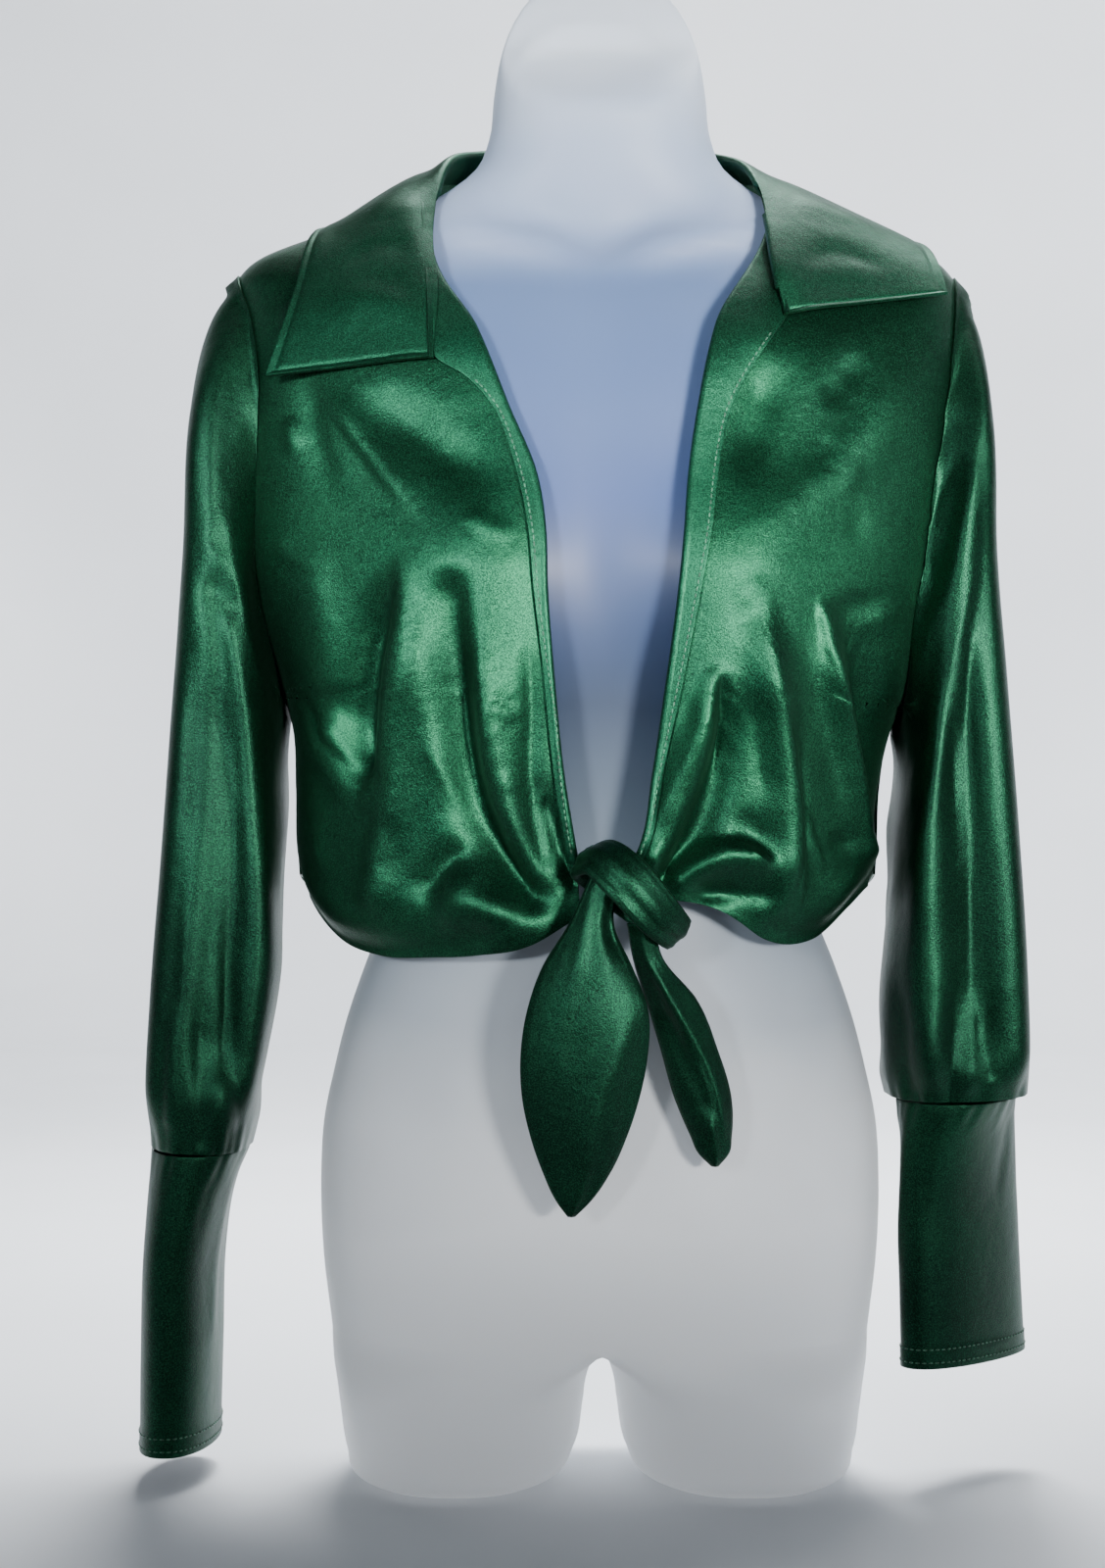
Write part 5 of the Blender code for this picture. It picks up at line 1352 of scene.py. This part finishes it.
def satin_finish(name, deep, mid, bright):
    """Stretch satin: smooth floats of yarn that shine in a soft, slightly grainy sheet."""
    finish, shader = blank(name)
    at = add(finish, "ShaderNodeTexCoord")
    place = at.outputs["Object"]
    # Slow shade changes over the cloth, some 70 mm apart, as satin takes the iron unevenly.
    shade = add(finish, "ShaderNodeTexNoise", {"Vector": place, "Scale": 14.0, "Detail": 2.0})
    # Yarn floats run down each cut piece: 0.35 mm apart, drawn coarser than the real 0.1 mm.
    floats = add(finish, "ShaderNodeMapping", {"Vector": at.outputs["UV"], "Scale": (2800.0, 420.0, 1.0)})
    yarn = add(finish, "ShaderNodeTexNoise", {"Vector": floats.outputs[0], "Scale": 1.0, "Detail": 2.0})
    # Grain of the stretch yarn, about 0.7 mm across, seen as a fine sparkle in the highlights.
    grain = add(finish, "ShaderNodeTexNoise", {"Vector": place, "Scale": 1500.0, "Detail": 2.0})
    # Soft unevenness where the cloth was pressed and worn, about 9 mm across.
    press = add(finish, "ShaderNodeTexNoise", {"Vector": place, "Scale": 110.0, "Detail": 2.0})
    tone = add(
        finish, "ShaderNodeMath", {0: shade.outputs["Fac"], 1: 0.30, 2: grain.outputs["Fac"]},
        operation="MULTIPLY_ADD",
    )
    colour = add(
        finish, "ShaderNodeValToRGB", {"Fac": tone.outputs[0]},
        stops=((0.50, deep), (0.65, mid), (0.80, bright)),
    )
    rough = add(
        finish, "ShaderNodeMapRange", {"Value": grain.outputs["Fac"], "To Min": 0.35, "To Max": 0.49}
    )
    low = add(
        finish, "ShaderNodeBump", {"Height": press.outputs["Fac"], "Strength": 0.35, "Distance": 0.0010}
    )
    fine = add(
        finish, "ShaderNodeBump",
        {"Height": yarn.outputs["Fac"], "Strength": 0.30, "Distance": 0.00012, "Normal": low.outputs[0]},
    )
    last = add(
        finish, "ShaderNodeBump",
        {"Height": grain.outputs["Fac"], "Strength": 0.70, "Distance": 0.00024, "Normal": fine.outputs[0]},
    )
    # Floats lie side by side down the cloth, so a highlight is drawn out across them.
    across = add(finish, "ShaderNodeTangent", direction_type="UV_MAP", uv_map="cut")
    settle(finish, shader, {
        "Base Color": colour.outputs["Color"],
        "Roughness": rough.outputs[0],
        "Normal": last.outputs[0],
        "Tangent": across.outputs[0],
        "Anisotropic": 0.40,
        "Metallic": 0.92,
        "Sheen Weight": 0.02,
        "Sheen Roughness": 0.45,
        "Sheen Tint": linear("9FDDB8"),
        "Specular IOR Level": 0.5,
    })
    return finish


def thread_finish():
    """Twisted polyester thread: matt, slightly lighter than the satin, with a ply every 2 mm."""
    finish, shader = blank("green sewing thread")
    at = add(finish, "ShaderNodeTexCoord")
    ply = add(
        finish, "ShaderNodeTexWave", {"Vector": at.outputs["Object"], "Scale": 160.0, "Distortion": 2.0}
    )
    colour = add(
        finish, "ShaderNodeValToRGB", {"Fac": ply.outputs["Fac"]},
        stops=((0.2, "123F2A"), (0.8, "2C6E4E")),
    )
    settle(finish, shader, {"Base Color": colour.outputs["Color"], "Roughness": 0.55, "Sheen Weight": 0.2})
    return finish


def plastic_painted_shade_finish():
    """Frosted plastic, milky and a little see-through, with painted light and shade by height: pale at the
    hips and thighs, dark blue-grey where the blouse shades the waist and chest.
    """
    finish, shader = blank("frosted plastic, painted shade and glow")
    at = add(finish, "ShaderNodeTexCoord")
    place = at.outputs["Object"]
    axes = add(finish, "ShaderNodeSeparateXYZ", {"Vector": place})
    cloud = add(finish, "ShaderNodeTexNoise", {"Vector": place, "Scale": 9.0, "Detail": 2.0})
    up = add(finish, "ShaderNodeMath", {0: axes.outputs["Z"], 1: 1.0 / 0.8}, operation="MULTIPLY")
    painted_shade_height = add(
        finish, "ShaderNodeMath", {0: cloud.outputs["Fac"], 1: 0.06, 2: up.outputs[0]},
        operation="MULTIPLY_ADD",
    )
    # Painted light and shade: the colour runs from pale at the thighs and hips to dark blue-grey at the
    # waist and chest, as shade from the blouse, with a little random cloud.
    colour = add(
        finish, "ShaderNodeValToRGB", {"Fac": painted_shade_height.outputs[0]},
        stops=(
            (0.06, "F0F3F6"), (0.20, "DFE3E7"), (0.34, "848C94"), (0.44, "46535F"), (0.54, "1F2C40"),
            (0.67, "30426A"), (0.81, "485A7A"), (0.90, "8492A8"), (0.97, "B8C2CE"),
        ),
    )
    # The blasted mould leaves a fine frost, 0.6 mm across, and a slow wander in the gloss.
    frost = add(finish, "ShaderNodeTexNoise", {"Vector": place, "Scale": 1600.0, "Detail": 1.0})
    rough = add(
        finish, "ShaderNodeMapRange", {"Value": cloud.outputs["Fac"], "To Min": 0.48, "To Max": 0.60}
    )
    skin = add(
        finish, "ShaderNodeBump", {"Height": frost.outputs["Fac"], "Strength": 0.12, "Distance": 0.0001}
    )
    wave = add(
        finish, "ShaderNodeBump",
        {"Height": cloud.outputs["Fac"], "Strength": 0.25, "Distance": 0.002, "Normal": skin.outputs[0]},
    )
    # Painted light: the shell glows in its own colour, most where it is whitest, standing in for light
    # coming through it from behind.
    settle(finish, shader, {
        "Base Color": colour.outputs["Color"],
        "Emission Color": colour.outputs["Color"],
        "Emission Strength": 0.20,
        "Roughness": rough.outputs[0],
        "Normal": wave.outputs[0],
        "Subsurface Weight": 0.12,
        "Subsurface Radius": (0.6, 0.8, 1.0),
        "Subsurface Scale": 0.012,
        "Specular IOR Level": 0.32,
        "Coat Weight": 0.04,
        "Coat Roughness": 0.3,
    })
    return finish


def board_finish():
    """Matt painted board, for the floor and the wall behind."""
    finish, shader = blank("pale matt board")
    at = add(finish, "ShaderNodeTexCoord")
    mottle = add(finish, "ShaderNodeTexNoise", {"Vector": at.outputs["Object"], "Scale": 3.0, "Detail": 4.0})
    colour = add(
        finish, "ShaderNodeValToRGB", {"Fac": mottle.outputs["Fac"]},
        stops=((0.3, "E3E5E8"), (0.7, "E9EBEE")),
    )
    settle(finish, shader, {"Base Color": colour.outputs["Color"], "Roughness": 0.9})
    return finish


# The garment's pieces, made and finished.


def make_body(form_tree, finish):
    """Both fronts and the back, and a search tree over their outer skins."""
    sheets = {}
    for side in (RIGHT, LEFT):
        sheets[f"front_{SIDE[side]}"] = cloth(FRONT_STEPS, front_place(side), CUT["front"])
    sheets["back"] = cloth(BACK_STEPS, back_place, CUT["back"])
    for bm in sheets.values():
        lift_off(bm.verts, form_tree, REST_GAP)
        face_out(bm, (0.0, 0.0, 0.45))
    tree = tree_of(*(skin_of(bm, SATIN) for bm in sheets.values()))
    pieces = {
        name: add_piece(f"{name}_cloth", bm, finish, name, SATIN, SOFT_EDGE) for name, bm in sheets.items()
    }
    return pieces, tree


def make_lapel(side, body_tree, finish, thread):
    """A turned-back front edge, and its row of topstitching."""
    name = f"lapel_{SIDE[side]}"
    bm = cloth(LAPEL_STEPS, lapel_place(side, body_tree), CUT["lapel"])
    face_out(bm, (side * 0.05, 0.5, 0.5))
    skin = tree_of(skin_of(bm, SATIN))
    heights = np.linspace(LAPEL_FOOT + 0.004, GORGE[side] - 0.003, 90)
    across = read(LAPEL_EDGE, SIDE[side], heights) - LAPEL_STITCH_IN
    row = row_on(skin, [on_front(skin, side * x, z, 0.0) for x, z in zip(across, heights)])
    piece = add_piece(f"{name}_facing", bm, finish, name, SATIN, SOFT_EDGE)
    return piece, stitches(f"{name}_stitches", [row], thread, name)


def make_collar(body_tree, form_tree, finish):
    """The collar: settled and rolled, then smoothed, lifted clear and given its edges."""
    place = rolled(netted(settled_collar(body_tree, form_tree)))
    bm = cloth(COLLAR_STEPS, lambda u, v: place(closer_to_ends(u), closer_to_ends(v)), CUT["collar"])
    where = shares(bm, CUT["collar"])
    down = {v: float(closer_to_ends(share)) for v, (_, share) in where.items()}
    inner = [v for v in bm.verts if not v.is_boundary]
    smooth(bm, [v for v in inner if down[v] < COLLAR_STAND + 2 * ROLL_SHARE], 0.5, 10)
    smooth(bm, inner, 0.5, 4)
    lift_off([v for v in bm.verts if down[v] > COLLAR_STAND + ROLL_SHARE], body_tree, FALL_CLEAR)
    lift_off(bm.verts, form_tree, FORM_CLEAR)
    for _ in range(8):
        relax_rim(bm)
    face_out(bm, (0.0, 0.0, 0.50))
    flat = np.array(list(where.values())).T
    u, v = closer_to_ends(flat)
    inset = np.minimum((1 - v) * COLLAR_DEEP, np.minimum(u, 1 - u) * COLLAR_LONG)
    inset = np.where(flat[1] < COLLAR_STAND, 0.02, inset)
    rise = EDGE_ROLL * np.exp(-((inset / EDGE_WIDE) ** 2))
    rise -= EDGE_DITCH * np.exp(-(((inset - DITCH_IN) / EDGE_WIDE) ** 2))
    ripple(bm, rise + crease_rise(COLLAR_CREASES, 0, u, v))
    return add_piece("collar_cloth", bm, finish, "collar", COLLAR_WALL, COLLAR_EDGE)


def make_sleeve(side, body_tree, finish):
    """A sleeve, lifted clear of the body but for its armhole seam."""
    name = f"sleeve_{SIDE[side]}"
    bm = cloth(SLEEVE_STEPS, sleeve_place(side), CUT["sleeve"], closed=True)
    down = {v: share for v, (_, share) in shares(bm, CUT["sleeve"]).items()}
    cap = [v for v in bm.verts if down[v] < CAP_SHARE and not v.is_boundary]
    for times in (1, 1, 0):
        for v in bm.verts:
            clear = mix(SEAM_CLEAR, CLOTH + SLEEVE_CLEAR, float(ease(down[v] / SEAM_SHARE)))
            lift_off([v], body_tree, clear, 0.012)
        smooth(bm, cap, 0.5, times)
    face_out(bm, (side * 0.19, 0.0, 0.36))
    return add_piece(f"{name}_cloth", bm, finish, name, SATIN, SOFT_EDGE)


def make_cuff(side, finish, thread):
    """A deep cuff, and the two rows of stitches above its hem."""
    name = f"cuff_{SIDE[side]}"
    bm = cloth(CUFF_STEPS, cuff_place(side), CUT["cuff"], closed=True)
    face_out(bm, (side * 0.21, 0.0, 0.12))
    skin = tree_of(skin_of(bm, SATIN))
    tall = CUFF[side]["height"][-1] - CUFF[side]["height"][0]
    u = np.linspace(0, 1, 160)
    rows = []
    for down in HEM_STITCH_DOWN:
        v = np.full_like(u, 1 - (HEM_DEEP - down) / tall)
        rows.append(row_on(skin, cuff_place(side)(u, v)))
    piece = add_piece(f"{name}_cloth", bm, finish, name, SATIN, SOFT_EDGE)
    return piece, stitches(f"{name}_stitches", rows, thread, name)


def make_tie_end(side, finish):
    """A tie end, closed at its tip and in the knot."""
    name = f"tie_end_{SIDE[side]}"
    bm = cloth(TAIL_STEPS, tail_place(side), CUT["tie_end"], closed=True)
    bmesh.ops.holes_fill(bm, edges=[e for e in bm.edges if e.is_boundary], sides=0)
    bmesh.ops.recalc_face_normals(bm, faces=bm.faces)
    return add_piece(f"{name}_cloth", bm, finish, name)


def make_knot(finish):
    bm = cloth(KNOT_STEPS, knot_place, CUT["tie_knot"], closed=True)
    bmesh.ops.recalc_face_normals(bm, faces=bm.faces)
    return add_piece("tie_knot_cloth", bm, finish, "tie_knot")


# The studio.


def make_floor():
    """A wide round floor that curves up into a wall on all sides."""
    floor, bend, tall = 2.6, 0.7, 3.2
    steps = [(r, 0.0) for r in np.linspace(0.0, floor, 14)]
    for angle in np.linspace(0, math.pi / 2, 17)[1:]:
        steps.append((floor + bend * math.sin(angle), bend * (1 - math.cos(angle))))
    steps += [(floor + bend, z) for z in np.linspace(bend, tall, 8)[1:]]
    bm = bmesh.new()
    line = [bm.verts.new((r, 0.0, z)) for r, z in steps]
    for here, ahead in zip(line, line[1:]):
        bm.edges.new((here, ahead))
    bmesh.ops.spin(
        bm, geom=bm.verts[:] + bm.edges[:], cent=(0, 0, 0), axis=(0, 0, 1),
        angle=2 * math.pi, steps=72, use_merge=True,
    )
    bmesh.ops.remove_doubles(bm, verts=bm.verts, dist=1e-4)
    bmesh.ops.recalc_face_normals(bm, faces=bm.faces)
    new_mesh("floor_and_wall", bm, board_finish())


def make_lights():
    """One soft light from the front right, a weaker one from the front left, and one each for
    the wall and the floor behind. Each has its place, aim, size, power, spread and tint."""
    warm, cool = (1.0, 0.98, 0.96), (0.94, 0.97, 1.0)
    for name, place, aim, size, power, spread, tint in (
        ("key", (0.95, -1.90, 0.62), (0.05, 0.0, 0.53), 0.50, 3.2, 17, warm),
        ("front", (-0.90, -1.90, 0.78), (-0.10, 0.0, 0.50), 0.40, 1.2, 15, cool),
        ("wall", (0.5, 0.9, 2.3), (0.4, 2.7, 0.2), 1.2, 125.0, 160, cool),
        ("floor", (0.0, 1.30, 2.60), (0.0, 0.62, 0.0), 0.80, 10.0, 48, cool),
    ):
        lamp = bpy.data.lights.new(name, "AREA")
        lamp.shape, lamp.size, lamp.energy, lamp.color = "SQUARE", size, power, tint
        lamp.spread = math.radians(spread)
        item = new_object(name, lamp)
        item.location = place
        item.rotation_euler = (Vector(aim) - Vector(place)).to_track_quat("-Z", "Y").to_euler()

    world = bpy.data.worlds.new("studio air")
    bpy.context.scene.world = world
    world.use_nodes = True
    air = world.node_tree.nodes["Background"].inputs
    air["Color"].default_value = (0.78, 0.86, 0.95, 1.0)
    air["Strength"].default_value = 0.04


def make_camera():
    """The photograph's level view, from 1.48 m in front of the middle."""
    camera = bpy.data.cameras.new("camera")
    camera.lens, camera.sensor_width = 64.9, 36.0
    item = new_object("camera", camera)
    item.location = (-0.0189, -1.4802, 0.366)
    item.rotation_euler = (math.radians(90), 0.0, 0.0)
    bpy.context.scene.camera = item


def main():
    make_camera()
    satin = satin_finish("emerald stretch satin", "072418", "0D3926", "184E34")
    # Painted shade: the sleeves, cuffs, tie ends and knot take a darker copy of the same satin, standing in
    # for the shade they hang in.
    shaded = satin_finish("emerald satin, painted shade", "051C13", "0A2E1F", "13422C")
    # Painted light: the collar and turned-back edges take a slightly lighter copy of the same satin,
    # standing in for the light they catch.
    facing = satin_finish("emerald satin, painted light", "092B1D", "10402C", "195038")
    thread = thread_finish()

    form_tree = make_form(plastic_painted_shade_finish())
    body, body_tree = make_body(form_tree, satin)
    lapels, sleeves, cuffs, tails, sewn = {}, {}, {}, {}, {}
    for side in (RIGHT, LEFT):
        lapels[side], sewn[f"lapel_{SIDE[side]}"] = make_lapel(side, body_tree, facing, thread)
    collar = make_collar(body_tree, form_tree, facing)
    for side in (RIGHT, LEFT):
        sleeves[side] = make_sleeve(side, body_tree, shaded)
        cuffs[side], sewn[f"cuff_{SIDE[side]}"] = make_cuff(side, shaded, thread)
    for side in (RIGHT, LEFT):
        tails[side] = make_tie_end(side, shaded)
    knot = make_knot(shaded)

    make_floor()
    make_lights()


main()
